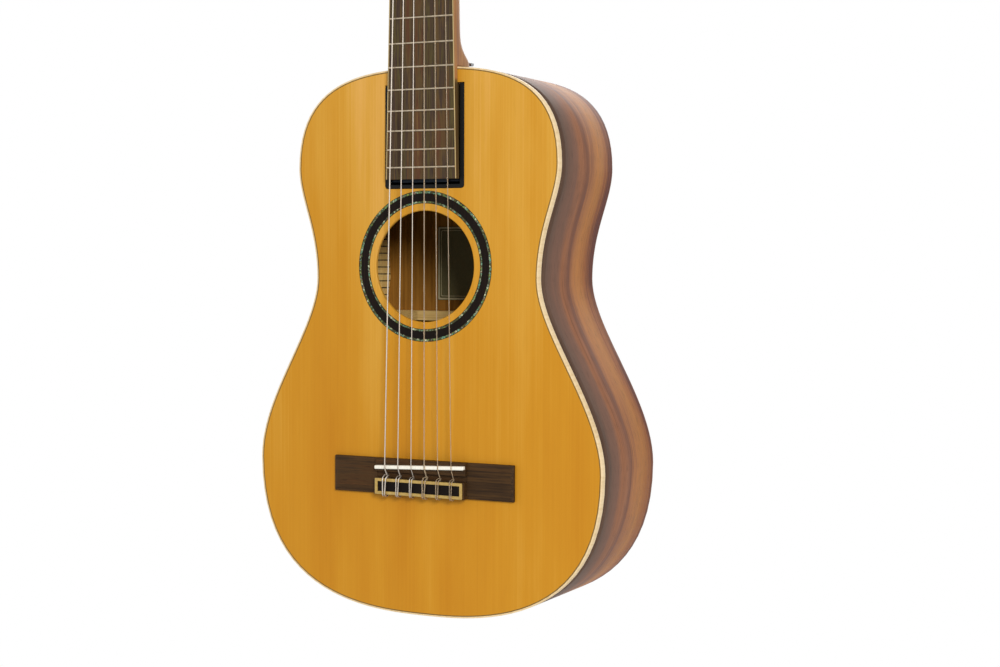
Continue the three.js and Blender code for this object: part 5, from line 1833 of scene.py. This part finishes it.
    def tongue(self) -> None:
        """Builds the tongue and cuts the seats of its steel."""
        bm = bmesh.new()
        back = AT.face + self.tongue_depth
        box(
            bm,
            (-self.tongue_half, AT.neck_top, self.tongue_foot),
            (self.tongue_half, back, AT.rim + AT.fit + self.heel_crest),
        )
        seats = bmesh.new()
        hook = self.hook_half + AT.fit
        box(
            seats,
            (-hook, back - self.leg_thickness - AT.fit, self.tongue_foot - BEYOND),
            (hook, back + BEYOND, self.tongue_foot + self.leg_length + AT.fit),
        )
        pin = AT.pin[1]
        low, high = (pin + way for way in self.strike_span)
        half, deep, fit = self.strike_half + AT.fit, back - self.seat_depth, AT.fit
        box(seats, (-half, deep, low - fit), (half, back + fit, high + fit))
        carve(bm, seats)
        room = bmesh.new()
        half, (low, high) = self.nose_half, self.nose_span
        box(room, (-half, back - BEYOND, pin + low), (half, back + fit, pin + high))
        carve(bm, room)
        # The tongue's finish is painted darker below the rim as the pocket's painted shade.
        hand_over(
            "mahogany_tongue", bm, FINISH.pocket_shaded_mahogany, "neck", "neck_wood", ["neck"], Edge(0.4)
        )

    def headplate(self) -> None:
        """Builds the rosewood veneer on the head's face."""
        half = AT.board_half(AT.nut_z) - AT.fit
        reach = 6
        crest = [
            (AT.head_half * k / reach, self.head_length - self.head_crest * (k / reach) ** 2)
            for k in range(reach, -reach - 1, -1)
        ]
        foot = half + (AT.head_half - half) * 2 / self.head_shoulder
        outline = [(foot, 2.0), (AT.head_half, self.head_shoulder), *crest]
        outline += [(-AT.head_half, self.head_shoulder), (-foot, 2.0)]
        bm = bmesh.new()
        prism(bm, [(x, self.veneer_face, z) for x, z in outline], (0, self.veneer_thickness, 0))
        for side in (-1, 1):
            slot = bmesh.new()
            prism(slot, self.slot_ring(side, -BEYOND), (0, 2 * BEYOND, 0))
            carve(bm, slot)
        bmesh.ops.transform(bm, matrix=AT.at_head(), verts=bm.verts)
        wood, edge = FINISH.board_rosewood, Edge(0.4)
        hand_over("headplate_veneer", bm, wood, "neck", "board_wood", ["headplate"], edge)

    def nut(self) -> None:
        """Builds the bone nut with its six slots."""
        top = AT.board_top - self.nut_rise
        foot = AT.nut_z + 0.05
        bm = bmesh.new()
        half, head = self.nut_half, foot + self.nut_thickness
        box(bm, (-half, top, foot), (half, AT.neck_top, head))
        cutter = bmesh.new()
        for i, diameter in enumerate(AT.strings):
            x = AT.nut_x(i)
            half = diameter / 2 + AT.fit
            floor = AT.board_top - AT.nut_action + half
            ring = [(top - BEYOND, foot - BEYOND), (floor, foot - BEYOND), (floor, foot + 0.2)]
            ring += [(floor + 3.4, foot + 6), (top - BEYOND, foot + 6)]
            prism(cutter, [(x - half, y, z) for y, z in ring], (2 * half, 0, 0))
        carve(bm, cutter)
        hand_over("bone_nut", bm, FINISH.bone, "neck", "bone", ["nut"], Edge(0.35))

    def hook(self) -> None:
        """Builds the steel hook that seats over the pocket's bar, with its leg's screws."""
        y, z = AT.bar
        inner, tip = self.hook_mouth, self.hook_lip
        front, back = y - self.hook_front, AT.face + self.tongue_depth
        head = self.tongue_foot - AT.fit
        angles = [math.pi * i / self.mouth_steps for i in range(self.mouth_steps + 1)]
        mouth = [(y + inner * math.cos(a), z + inner * math.sin(a)) for a in angles]
        section = [
            (y + inner, z - tip), *mouth, (y - inner, z - tip), (front, z - tip), (front, head),
            (back - self.leg_thickness, head),
            (back - self.leg_thickness, self.tongue_foot + self.leg_length),
            (back, self.tongue_foot + self.leg_length), (back, z - tip),
        ]
        bm = bmesh.new()
        prism(bm, [(-self.hook_half, a, b) for a, b in section], (2 * self.hook_half, 0, 0))
        hand_over("steel_hook", bm, FINISH.blued_steel, "neck", "steel", ["neck_hook"], Edge(0.35))
        screws = bmesh.new()
        sunk, proud = back - self.screw_sunk, back + self.screw_proud
        for x in (-13, 13):
            for rise in self.hook_screws:
                rod(screws, (x, sunk, z + rise), (x, proud, z + rise), 2.1, 20)
        hand_over("hook_screws", screws, FINISH.nickel, "neck", "steel", (), Edge(0.15))

    def strike_plate(self) -> None:
        """Builds the plate that the latch's nose catches."""
        back = AT.face + self.tongue_depth
        pin = AT.pin[1]
        rings = [
            [(-half, pin + low), (half, pin + low), (half, pin + high), (-half, pin + high)]
            for half, (low, high) in (
                (self.strike_half, self.strike_span), (self.strike_hole_half, self.strike_hole)
            )
        ]
        bm = bmesh.new()
        seat = back - self.strike_thickness
        loops = [chain(bm, [(x, seat, z) for x, z in ring]) for ring in rings]
        thicken(bm, bridge(bm, *loops), (0, self.strike_thickness, 0))
        steel, edge = FINISH.brushed_steel, Edge(0.3)
        hand_over("steel_strike_plate", bm, steel, "neck", "steel", ["strike_plate"], edge)
        screws = bmesh.new()
        sunk, proud = back - self.screw_sunk, back + self.screw_proud
        for x in (-9.9, 9.9):
            for drop in self.strike_screws:
                rod(screws, (x, sunk, pin + drop), (x, proud, pin + drop), 1.7, 18)
        hand_over("strike_plate_screws", screws, FINISH.nickel, "neck", "steel", (), Edge(0.12))


@dataclass
class Fretboard:
    """Rosewood fretboard with its fret wires."""

    count: int = 17
    crown: float = 0.95
    wire: float = 1.5
    edging: float = 0.8
    edge_depth: float = 0.45
    line_drop: float = 0.04
    dots: tuple[int, ...] = (5, 7, 9, 12)
    dot_y: float = -56.6
    dot_radius: float = 0.9

    def build(self) -> None:
        """Builds the board with its edging, the wires and the side dots."""
        bm, edging, line = bmesh.new(), bmesh.new(), bmesh.new()
        thickness = AT.neck_top - AT.fit - AT.board_top
        self.taper(bm, (-1, self.edging), (1, self.edging), 0.0, thickness)
        for side in (-1, 1):
            sides = (side, self.edging), (side, 0.0)
            self.taper(edging, *sides, self.edge_depth, thickness - self.edge_depth)
            self.taper(line, *sides, self.line_drop, self.edge_depth - self.line_drop)
        node = ["fretboard"]
        hand_over("fretboard_plank", bm, FINISH.board_rosewood, "neck", "board_wood", node)
        # The edging's finish is painted darker inside the pocket as painted shade.
        hand_over("fretboard_edging", edging, FINISH.pocket_shaded_mahogany, "neck", "neck_wood", node)
        # The pale line along the board's top edges is a painted highlight.
        highlight, edge = FINISH.painted_edge_highlight, Edge(0.12)
        hand_over("fretboard_edge_line", line, highlight, "neck", "board_wood", node, edge)
        wires = bmesh.new()
        for fret in range(1, self.count + 1):
            self.wire_at(wires, self.height(fret))
        hand_over("fret_wires", wires, FINISH.fret_wire, "neck", "nickel", node)
        self.side_dots()

    def taper(
        self,
        bm: BMesh,
        first: tuple[int, float],
        second: tuple[int, float],
        drop: float,
        thickness: float,
    ) -> None:
        """Adds a plank between two lines that follow the board's sides.

        Args:
            bm: Mesh that takes it.
            first: Side of the first line, -1 or 1, and its inset from the board's side.
            second: The same for the second line.
            drop: How far its face lies below the board's.
            thickness: Its depth behind that face.
        """
        low, high = AT.board_foot, AT.nut_z
        ends = ((first, low), (second, low), (second, high), (first, high))
        face = AT.board_top + drop
        ring = [(side * (AT.board_half(z) - inset), face, z) for (side, inset), z in ends]
        prism(bm, ring, (0, thickness, 0))

    def height(self, fret: float) -> float:
        """Height of a fret."""
        return AT.scale_foot + AT.scale_length * 2 ** (-fret / 12)

    def wire_at(self, bm: BMesh, z: float) -> None:
        """Adds a crowned wire with sloping ends.

        Args:
            bm: Mesh that takes it.
            z: Its height.
        """
        half = AT.board_half(z) - AT.fit
        section = []
        for i in range(9):
            angle = math.pi * i / 8
            across = self.wire / 2 * math.cos(angle)
            section.append((AT.board_top - self.crown * math.sin(angle) ** 0.8, z + across))
        section += [(AT.board_top + 0.6, z + way * self.wire / 2) for way in (-1, 1)]
        before = set(bm.verts)
        prism(bm, [(-half, y, w) for y, w in section], (2 * half, 0, 0))
        for vert in set(bm.verts) - before:
            rise = AT.board_top - vert.co.y
            if rise > 0:
                vert.co.x -= math.copysign(rise * 0.5, vert.co.x)

    def side_dots(self) -> None:
        """Builds the small dots on the board's bass edge."""
        bm = bmesh.new()
        for fret in self.dots:
            z = (self.height(fret) + self.height(fret - 1)) / 2
            for offset in (-3.0, 3.0) if fret == 12 else (0.0,):
                x = -AT.board_half(z + offset)
                start, end = (x - 0.03, self.dot_y, z + offset), (x + 0.8, self.dot_y, z + offset)
                rod(bm, start, end, self.dot_radius, 16)
        hand_over("side_dots", bm, FINISH.bone, "neck", "bone")


# Tuning machines


@dataclass
class TuningMachines:
    """Six worm-and-gear machines on two plates."""

    plate_thickness: float = 2.0
    plate_half: float = 6.5
    plate_margin: float = 12.0
    screw_rise: float = 21.5
    steps: int = 28
    roller_inner: float = 2.5
    spindle: float = 2.0
    shaft: float = 1.5
    shaft_proud: float = 0.8
    shaft_sunk: float = 4.0
    worm_core: float = 1.5
    worm_tip: float = 2.8
    worm_half: float = 3.9
    worm_offset: float = 8.2
    teeth: int = 14
    gear_tip: float = 6.35
    gear_root: float = 5.0
    gear_thickness: float = 2.2
    pitch: float = 2.7036
    lug_half: float = 2.8
    lug_thickness: float = 2.0
    button_foot: float = 20.5
    button_length: float = 15.0
    button_half: tuple[float, float] = (4.0, 9.0)
    button_shape: tuple[tuple[float, float, float], ...] = (
        (0.0, 0.26, 0.52), (0.02, 0.34, 0.66), (0.1, 0.48, 0.76), (0.22, 0.7, 0.86),
        (0.36, 0.91, 0.95), (0.5, 0.985, 0.99), (0.62, 1.0, 1.0), (0.76, 0.96, 0.97),
        (0.88, 0.86, 0.88), (0.96, 0.68, 0.7), (0.99, 0.5, 0.5), (1.0, 0.25, 0.25),
    )
    winding_ends: tuple[float, ...] = (0.0,) * 6

    def build(self) -> None:
        """Builds both plates and all six machines."""
        for side, name in ((1, "treble"), (-1, "bass")):
            self.plate(side, f"{name}_tuner_plate")
        for i in range(6):
            side = 1 if i < 3 else -1
            row = i if i < 3 else 5 - i
            self.roller(i + 1, side, AT.rows[row])
            self.worm(i + 1, side, AT.rows[row] + self.worm_offset)
            self.button(i + 1, side, AT.rows[row] + self.worm_offset)

    @property
    def outer(self) -> float:
        """Outer face of a plate."""
        return AT.head_half + AT.fit + self.plate_thickness

    @property
    def worm_x(self) -> float:
        """How far a worm's axis lies from the middle."""
        return self.outer + self.worm_tip + 0.35

    def at_head(self, bm: BMesh) -> None:
        """Turns a shape from the head's frame to the model's."""
        bmesh.ops.transform(bm, matrix=AT.at_head(), verts=bm.verts)

    def plate(self, side: int, node: str) -> None:
        """Builds one side plate with its lugs and screws.

        Args:
            side: 1 for treble, -1 for bass.
            node: The node that it stands for.
        """
        foot = AT.rows[0] - self.plate_margin
        head = AT.rows[2] + self.worm_offset + self.plate_margin / 2
        inner = AT.head_half + AT.fit
        bm = bmesh.new()
        half = (self.plate_half, (head - foot) / 2)
        centre = (AT.roller_depth, (head + foot) / 2)
        ring = round_rectangle(half, centre, 3.0, 6, lambda y, z: (side * inner, y, z))
        prism(bm, ring, (side * self.plate_thickness, 0, 0))
        lug_foot = self.worm_half + AT.fit
        for z in AT.rows:
            middle = z + self.worm_offset
            for way in (-1, 1):
                near, far = sorted((way * lug_foot, way * (lug_foot + self.lug_thickness)))
                ends = sorted((side * (self.outer - 0.4), side * (self.worm_x + 2.9)))
                box(
                    bm,
                    (ends[0], AT.roller_depth + near, middle - self.lug_half),
                    (ends[1], AT.roller_depth + far, middle + self.lug_half),
                )
        self.at_head(bm)
        hand_over(f"nickel_{node}", bm, FINISH.nickel, "neck", "nickel", [node], Edge(0.4, 3))
        screws = bmesh.new()
        sunk, proud = side * self.outer - side * 0.5, side * self.outer + side * 0.55
        for z in (foot + 4, AT.rows[0] + self.screw_rise, AT.rows[1] + self.screw_rise):
            for y in (AT.roller_depth - 3.6, AT.roller_depth + 3.6):
                rod(screws, (sunk, y, z), (proud, y, z), 1.7, 20, 1.1)
        self.at_head(screws)
        hand_over(f"{node}_screws", screws, FINISH.nickel, "neck", "nickel", (), Edge(0.1))

    def roller(self, number: int, side: int, z: float) -> None:
        """Builds a roller with its spindle and gear wheel.

        Args:
            number: The string's number.
            side: 1 for treble, -1 for bass.
            z: Its height in the head's frame.
        """
        barrel = bmesh.new()
        radius, y = AT.roller_radius, AT.roller_depth
        ends = (self.roller_inner, AT.head_half)
        profile = [
            (side * ends[0], y, z), (side * ends[0], y + radius - 0.5, z),
            (side * (ends[0] + 0.5), y + radius, z), (side * (ends[1] - 0.3), y + radius, z),
            (side * ends[1], y + radius - 0.3, z), (side * ends[1], y, z),
        ]
        turned(barrel, profile, (0, y, z), (1, 0, 0), 40)
        bore = bmesh.new()
        x = side * self.winding_ends[number - 1]
        rod(bore, (x, y - radius - 3, z), (x, y + radius / 2, z), 1.1, 16)
        carve(barrel, bore)
        self.at_head(barrel)
        body = node = f"roller_{number}"
        hand_over(
            f"ivory_barrel_{number}", barrel, FINISH.ivory_nylon, body, "roller_plastic", [node]
        )
        wheel = bmesh.new()
        near, far = (self.worm_x + way * self.gear_thickness / 2 for way in (-1, 1))
        teeth = [(side * near, y + a, z + b) for a, b in self.gear_outline()]
        prism(wheel, teeth, (side * (far - near), 0, 0))
        self.at_head(wheel)
        hand_over(f"gear_wheel_{number}", wheel, FINISH.brass, body, "nickel", [node], Edge(0.12))
        axle = bmesh.new()
        rod(axle, (side * (AT.head_half - 1), y, z), (side * near, y, z), self.spindle, 20)
        cap = [
            (side * (far - 0.2), y, z), (side * (far - 0.2), y + 2.9, z),
            (side * (far + 0.5), y + 2.8, z), (side * (far + 1.1), y + 2.1, z),
            (side * (far + 1.35), y, z),
        ]
        turned(axle, cap, (0, y, z), (1, 0, 0), self.steps)
        slit = bmesh.new()
        x0, x1 = sorted((side * (far + 0.8), side * (far + 3)))
        box(slit, (x0, y - 3.2, z - 0.3), (x1, y + 3.2, z + 0.3))
        carve(axle, slit)
        self.at_head(axle)
        hand_over(f"gear_screw_{number}", axle, FINISH.nickel, body, "nickel", [node])

    def gear_outline(self) -> list[tuple[float, float]]:
        """Gives the gear's outline, with a gap between two teeth facing the worm.

        Returns:
            Offsets from the gear's axis.
        """
        step = FULL_TURN / self.teeth
        points = []
        for i in range(self.teeth):
            middle = math.pi / 2 + (i + 0.5) * step
            flank = ((self.gear_root, -0.115), (5.7, -0.085), (self.gear_tip, -0.047))
            both = [*flank, *((r, -a) for r, a in reversed(flank))]
            points += [(r * math.cos(middle + a), r * math.sin(middle + a)) for r, a in both]
        return points

    def worm(self, number: int, side: int, z: float) -> None:
        """Builds a worm on its shaft.

        Args:
            number: The string's number.
            side: 1 for treble, -1 for bass.
            z: Its height in the head's frame.
        """
        x, y = side * self.worm_x, AT.roller_depth
        front = y - self.worm_half - self.lug_thickness - AT.fit - self.shaft_proud
        rear = self.button_foot + self.shaft_sunk
        core = bmesh.new()
        stations = [
            (0, front), (1.1, front), (self.shaft, front + 0.4), (self.shaft, y - self.worm_half),
            (self.worm_core, y - self.worm_half + 0.2), (self.worm_core, y + self.worm_half - 0.2),
            (self.shaft, y + self.worm_half), (self.shaft, rear), (0, rear),
        ]
        turned(core, [(x, b, z + a) for a, b in stations], (x, 0, z), (0, 1, 0), self.steps)
        thread = bmesh.new()
        half = self.worm_half - 0.55
        turns = 2 * half / self.pitch
        start = -math.pi / 2 + FULL_TURN * half / self.pitch
        root, tip = self.worm_core - 0.25, self.worm_tip
        shape = [(root, -0.62), (tip - 0.15, -0.34), (tip, -0.2)]
        shape += [(r, -b) for r, b in reversed(shape)]
        ring = [(x + r * math.cos(start), y - half + b, z + r * math.sin(start)) for r, b in shape]
        face = bmesh.ops.contextual_create(thread, geom=chain(thread, ring))["faces"]
        steps = round(turns * self.steps)
        bmesh.ops.spin(
            thread, geom=[*thread.verts, *thread.edges, *face], cent=(x, 0, z), axis=(0, 1, 0),
            dvec=(0, 2 * half / steps, 0), angle=FULL_TURN * turns, steps=steps, use_merge=False,
            use_duplicate=False,
        )
        bmesh.ops.recalc_face_normals(thread, faces=thread.faces)
        body, node = f"tuner_shaft_{number}", f"worm_shaft_{number}"
        for name, bm in (("worm_core", core), ("worm_thread", thread)):
            self.at_head(bm)
            hand_over(f"{name}_{number}", bm, FINISH.nickel, body, "nickel", [node])

    def button(self, number: int, side: int, z: float) -> None:
        """Builds an oval button, waisted towards its shaft, with its ferrule.

        Args:
            number: The string's number.
            side: 1 for treble, -1 for bass.
            z: Its height in the head's frame.
        """
        x = side * self.worm_x
        thin, broad = self.button_half
        angles = [FULL_TURN * i / 32 for i in range(32)]
        rings = []
        for along, wide, thick in self.button_shape:
            depth = self.button_foot + along * self.button_length
            a, b = thin * thick, broad * wide
            rings.append([(x + a * math.cos(t), depth, z + b * math.sin(t)) for t in angles])
        bm = bmesh.new()
        loft(bm, rings)
        self.at_head(bm)
        body, node = f"tuner_shaft_{number}", f"button_{number}"
        hand_over(f"pearloid_button_{number}", bm, FINISH.pearloid, body, "pearl", [node])
        ferrule = bmesh.new()
        profile = [(0, -0.9), (2.1, -0.9), (2.5, -0.3), (2.5, 0.4), (0, 0.4)]
        line = [(x, self.button_foot + b, z + a) for a, b in profile]
        turned(ferrule, line, (x, 0, z), (0, 1, 0), self.steps)
        self.at_head(ferrule)
        hand_over(f"button_ferrule_{number}", ferrule, FINISH.nickel, body, "nickel")


# Strings


@dataclass
class Strings:
    """Six strings from their ties at the bridge to their rollers in the head."""

    self_gap: float = 0.6
    tie_gap: float = 0.15
    lay: float = 0.35
    nut_crest: float = 0.925
    roller_gap: float = 0.1
    starts: tuple[float, ...] = (18.4, 15.5, 13.7)
    turns: int = 3
    turn_steps: int = 28
    free_steps: int = 48
    sides: int = 10
    knot_steps: int = 5
    bend_depth: float = -62.0
    bridge: Bridge = field(default_factory=Bridge)

    @property
    def ends(self) -> tuple[Point, Point]:
        """Where the strings would start and end to turn with the neck; hand_over does not bend
        them.
        """
        return (0, self.bend_depth, self.bridge.saddle_z), (0, self.bend_depth, AT.nut_z)

    def winding_end(self, i: int) -> float:
        """How far from the middle a string enters its roller."""
        return self.starts[self.row(i)] + self.turns * (AT.strings[i] + self.self_gap)

    def row(self, i: int) -> int:
        """The roller's row, from the nut."""
        return i if i < 3 else 5 - i

    def build(self) -> None:
        """Builds every string."""
        for i in range(6):
            bm = bmesh.new()
            self.tube(bm, self.route(i), AT.strings[i] / 2)
            finish, slot = FINISH.silver_winding, "silver_wound"
            if i < 3:
                finish, slot = FINISH.nylon, "nylon"
            name, node = f"tied_string_{i + 1}", f"string_{i + 1}"
            hand_over(name, bm, finish, ("body", "neck"), slot, [node], bend=self.ends)

    def tie(self, x: float, diameter: float, slope: float) -> list[Vector]:
        """Gives the tie at the bridge, from the string's loose end to its bore.

        Args:
            x: Where the string lies.
            diameter: Its diameter.
            slope: How steeply it runs from the bore to the saddle.

        Returns:
            The points in order.
        """
        bridge = self.bridge
        foot, edge = bridge.foot, bridge.foot + bridge.tie_width
        apart, off = diameter + self.tie_gap, diameter / 2 + self.lay
        top = bridge.tie_height + bridge.trim_height
        over = top + diameter / 2 + 0.15
        turn_z = edge + off + apart
        hole = bridge.hole_height
        under = hole + (turn_z - edge) * slope - 1.25 * apart
        middle = foot + bridge.tie_width / 2
        knots = [
            (-1.2 * apart, top - 2 * apart, foot - off - apart / 4),
            (-1.25 * apart, top - apart / 4, foot - off), (-1.3 * apart, over, foot + off / 2),
            (-1.35 * apart, over + diameter / 8, middle), (-1.35 * apart, over, edge - off / 2),
            (-1.3 * apart, top - apart / 4, edge + off), (-1.3 * apart, (top + under) / 2, turn_z),
            (0, under, turn_z + apart / 4), (1.3 * apart, (top + under) / 2, turn_z),
            (1.25 * apart, top - apart / 4, edge + off), (0.9 * apart, over, edge - off / 2),
            (0.5 * apart, over + diameter / 8, middle), (0.15 * apart, over, foot + off / 2),
            (0, top - apart / 2, foot - off), (0, (top + hole) / 2, foot - off - apart / 2),
            (0, hole + apart / 4, foot - off - apart / 4), (0, hole, foot),
        ]
        points = [Vector((x + side, AT.face - height, z)) for side, height, z in knots]
        return self.smoothed(points)

    def smoothed(self, points: list[Vector]) -> list[Vector]:
        """Runs a smooth curve through points.

        Args:
            points: The points in order.

        Returns:
            Points along the curve, the given ones among them.
        """
        ends = [2 * points[0] - points[1], *points, 2 * points[-1] - points[-2]]
        line = [points[0]]
        for i in range(1, len(ends) - 2):
            a, b, c, d = ends[i - 1 : i + 3]
            into = (c - a) * (c - b).length / max((c - b).length + (b - a).length, 1e-6)
            out = (d - b) * (c - b).length / max((d - c).length + (c - b).length, 1e-6)
            line += interpolate_bezier(b, b + into / 3, c - out / 3, c, self.knot_steps + 1)[1:]
        return line

    def route(self, i: int) -> list[Vector]:
        """Gives a string's whole route.

        Args:
            i: The string's place, from the treble side.

        Returns:
            The points in order.
        """
        diameter, row, side = AT.strings[i], self.row(i), 1 if i < 3 else -1
        bridge = self.bridge
        x = bridge.string_x(i)
        crest_y = AT.face - bridge.saddle_top - diameter / 2 - 0.05
        saddle_z = bridge.saddle_z + bridge.saddle_slant * x / bridge.saddle_length
        mouth = bridge.foot + bridge.tie_width
        crests = [Vector((x, crest_y, saddle_z + way * 0.6)) for way in (-1, 1)]
        climb = bridge.saddle_top + diameter / 2 + self.lay - bridge.hole_height
        slope = climb / (saddle_z - 1.5 - mouth)
        nut = Vector((AT.nut_x(i), AT.board_top - AT.nut_action, AT.nut_z + self.nut_crest))
        free = [crests[1].lerp(nut, k / self.free_steps) for k in range(1, self.free_steps + 1)]
        reach = AT.roller_radius + self.roller_gap + diameter / 2
        pitch = diameter + self.self_gap
        turn = AT.at_head()
        deep, z = AT.roller_depth, AT.rows[row]
        winding = []
        for k in range(self.turns * self.turn_steps):
            angle = FULL_TURN * k / self.turn_steps
            across = side * (self.starts[row] + pitch * k / self.turn_steps)
            place = (across, deep - reach * math.cos(angle), z + reach * math.sin(angle))
            winding.append(turn @ Vector(place))
        end_x = side * self.winding_end(i)
        depths = (reach - diameter / 3, reach - diameter, AT.roller_radius / 3)
        into = [turn @ Vector((end_x, deep - depth, z)) for depth in depths]
        tie = self.tie(x, diameter, slope)
        bore = Vector((x, AT.face - bridge.hole_height, mouth))
        return [*tie, bore, *crests, *free, *winding, *into]

    def tube(self, bm: BMesh, places: list[Vector], radius: float) -> None:
        """Adds a round tube along a route, with its run kept on its points.

        Args:
            bm: Mesh that takes it.
            places: The route.
            radius: The tube's radius.
        """
        layer = bm.verts.layers.float.new("wound_run")
        side = Vector((1, 0, 0))
        run, last = 0.0, None
        for k, here in enumerate(places):
            before, after = places[max(k - 1, 0)], places[min(k + 1, len(places) - 1)]
            run += (here - before).length
            way = ((here - before).normalized() + (after - here).normalized()).normalized()
            side = (side - way * side.dot(way)).normalized()
            up = way.cross(side)
            ring = [
                here + radius * (side * math.cos(a) + up * math.sin(a))
                for a in (FULL_TURN * j / self.sides for j in range(self.sides))
            ]
            edges = chain(bm, ring)
            for edge in edges:
                edge.verts[0][layer] = run * MM
                edge.verts[1][layer] = run * MM
            if last:
                bridge(bm, last, edges)
            if k in (0, len(places) - 1):
                bmesh.ops.edgeloop_fill(bm, edges=edges)
            last = edges
        bmesh.ops.recalc_face_normals(bm, faces=bm.faces)


# Studio


@dataclass
class Studio:
    """Camera at the photograph's place, soft lamps, a pale floor and a white backdrop."""

    lens: float = 63.108
    position: tuple[float, float, float] = (664.4553, -1259.115, 291.4452)
    yaw: float = 0.4602
    pitch: float = 0.0429
    roll: float = 0.0032
    floor_z: float = -300.0
    floor_radius: float = 850.0
    sky: float = 0.5

    def camera(self) -> None:
        """Sets the camera."""
        forward = Vector(
            (
                -math.sin(self.yaw) * math.cos(self.pitch),
                math.cos(self.yaw) * math.cos(self.pitch),
                -math.sin(self.pitch),
            )
        )
        right = Vector((math.cos(self.yaw), math.sin(self.yaw), 0))
        up = right.cross(forward)
        level = right * math.cos(self.roll) + up * math.sin(self.roll)
        plumb = up * math.cos(self.roll) - right * math.sin(self.roll)
        data = bpy.data.cameras.new("studio_camera")
        data.lens = self.lens
        data.sensor_width = 36.0
        data.clip_start = 0.05
        camera = bpy.data.objects.new("studio_camera", data)
        turn = Matrix((level, plumb, -forward)).transposed().to_4x4()
        camera.matrix_world = Matrix.Translation(Vector(self.position) * MM) @ turn
        bpy.context.scene.collection.objects.link(camera)
        bpy.context.scene.camera = camera

    def build(self) -> None:
        """Sets the lamps, the backdrop and the floor."""
        bpy.context.scene.view_settings.view_transform = "Standard"
        self.backdrop()
        self.floor()
        target = Vector((0, 0, 0.3))
        self.lamp("key_softbox", (1.55, -1.9, 0.98), target, 0.6, 45.0)
        self.lamp("bass_softbox", (-2.2, -1.2, 1.0), target, 1.5, 8.0)
        self.lamp("back_softbox", (-0.6, 2.3, 1.2), target, 1.5, 15.0)

    def lamp(self, name: str, place: Point, target: Vector, size: float, power: float) -> None:
        """Adds a soft square lamp.

        Args:
            name: Its name.
            place: Where it stands, in metres.
            target: What it points at.
            size: Its width.
            power: Its power in watts.
        """
        data = bpy.data.lights.new(name, "AREA")
        data.size = size
        data.energy = power
        lamp = bpy.data.objects.new(name, data)
        lamp.location = place
        lamp.rotation_euler = (target - Vector(place)).to_track_quat("-Z", "Y").to_euler()
        bpy.context.scene.collection.objects.link(lamp)

    def seen_directly(self, tree: Tree) -> Socket:
        """Tells rays from the camera, mirrors and clear plastic from those that light things."""
        path = add_node(tree, "LightPath")
        links = {0: path.outputs["Is Camera Ray"], 1: path.outputs["Is Glossy Ray"]}
        first = add_node(tree, "Math", {"operation": "MAXIMUM"}, links)
        links = {0: first.outputs[0], 1: path.outputs["Is Transmission Ray"]}
        return add_node(tree, "Math", {"operation": "MAXIMUM"}, links).outputs[0]

    def backdrop(self) -> None:
        """Makes the world white to look at and a plain soft light on the object."""
        world = bpy.data.worlds.new("white_backdrop")
        bpy.context.scene.world = world
        world.use_nodes = True
        tree = world.node_tree
        tree.nodes.clear()
        settings = {"To Min": self.sky, "To Max": 1.0}
        level = add_node(tree, "MapRange", settings, {"Value": self.seen_directly(tree)})
        links = {"Strength": level.outputs[0]}
        light = add_node(tree, "Background", {"Color": (1, 1, 1, 1)}, links)
        add_node(tree, "OutputWorld", links={"Surface": light.outputs[0]})

    def floor(self) -> None:
        """Lays the plain pale floor, a disc below the hanging guitar."""
        bm = bmesh.new()
        centre = Vector((0, 0, self.floor_z))
        rod(bm, centre - Vector((0, 0, 10)), centre, self.floor_radius, 96)
        bmesh.ops.scale(bm, vec=(MM, MM, MM), verts=bm.verts)
        floor = stand("studio_floor", bm)
        stops = ((0.3, "#f1f1ef"), (0.7, "#f4f4f2"))
        finish = Mottled("pale_floor", 0.8, stops=stops, speck_mm=20.0)
        floor.data.materials.append(finish.material())


def main() -> None:
    """Builds the studio and the guitar."""
    logging.basicConfig(level=logging.INFO, format="%(message)s")
    studio = Studio()
    studio.camera()
    strings = Strings()
    ends = tuple(strings.winding_end(i) for i in range(6))
    parts = (
        BodyShell(), Rosette(), Inside(), Bridge(), Pocket(), Latch(), StrapButton(), Neck(),
        Fretboard(), TuningMachines(winding_ends=ends), strings, studio,
    )
    for part in parts:
        log.info("building %s", type(part).__name__)
        part.build()


if __name__ == "__main__":
    main()
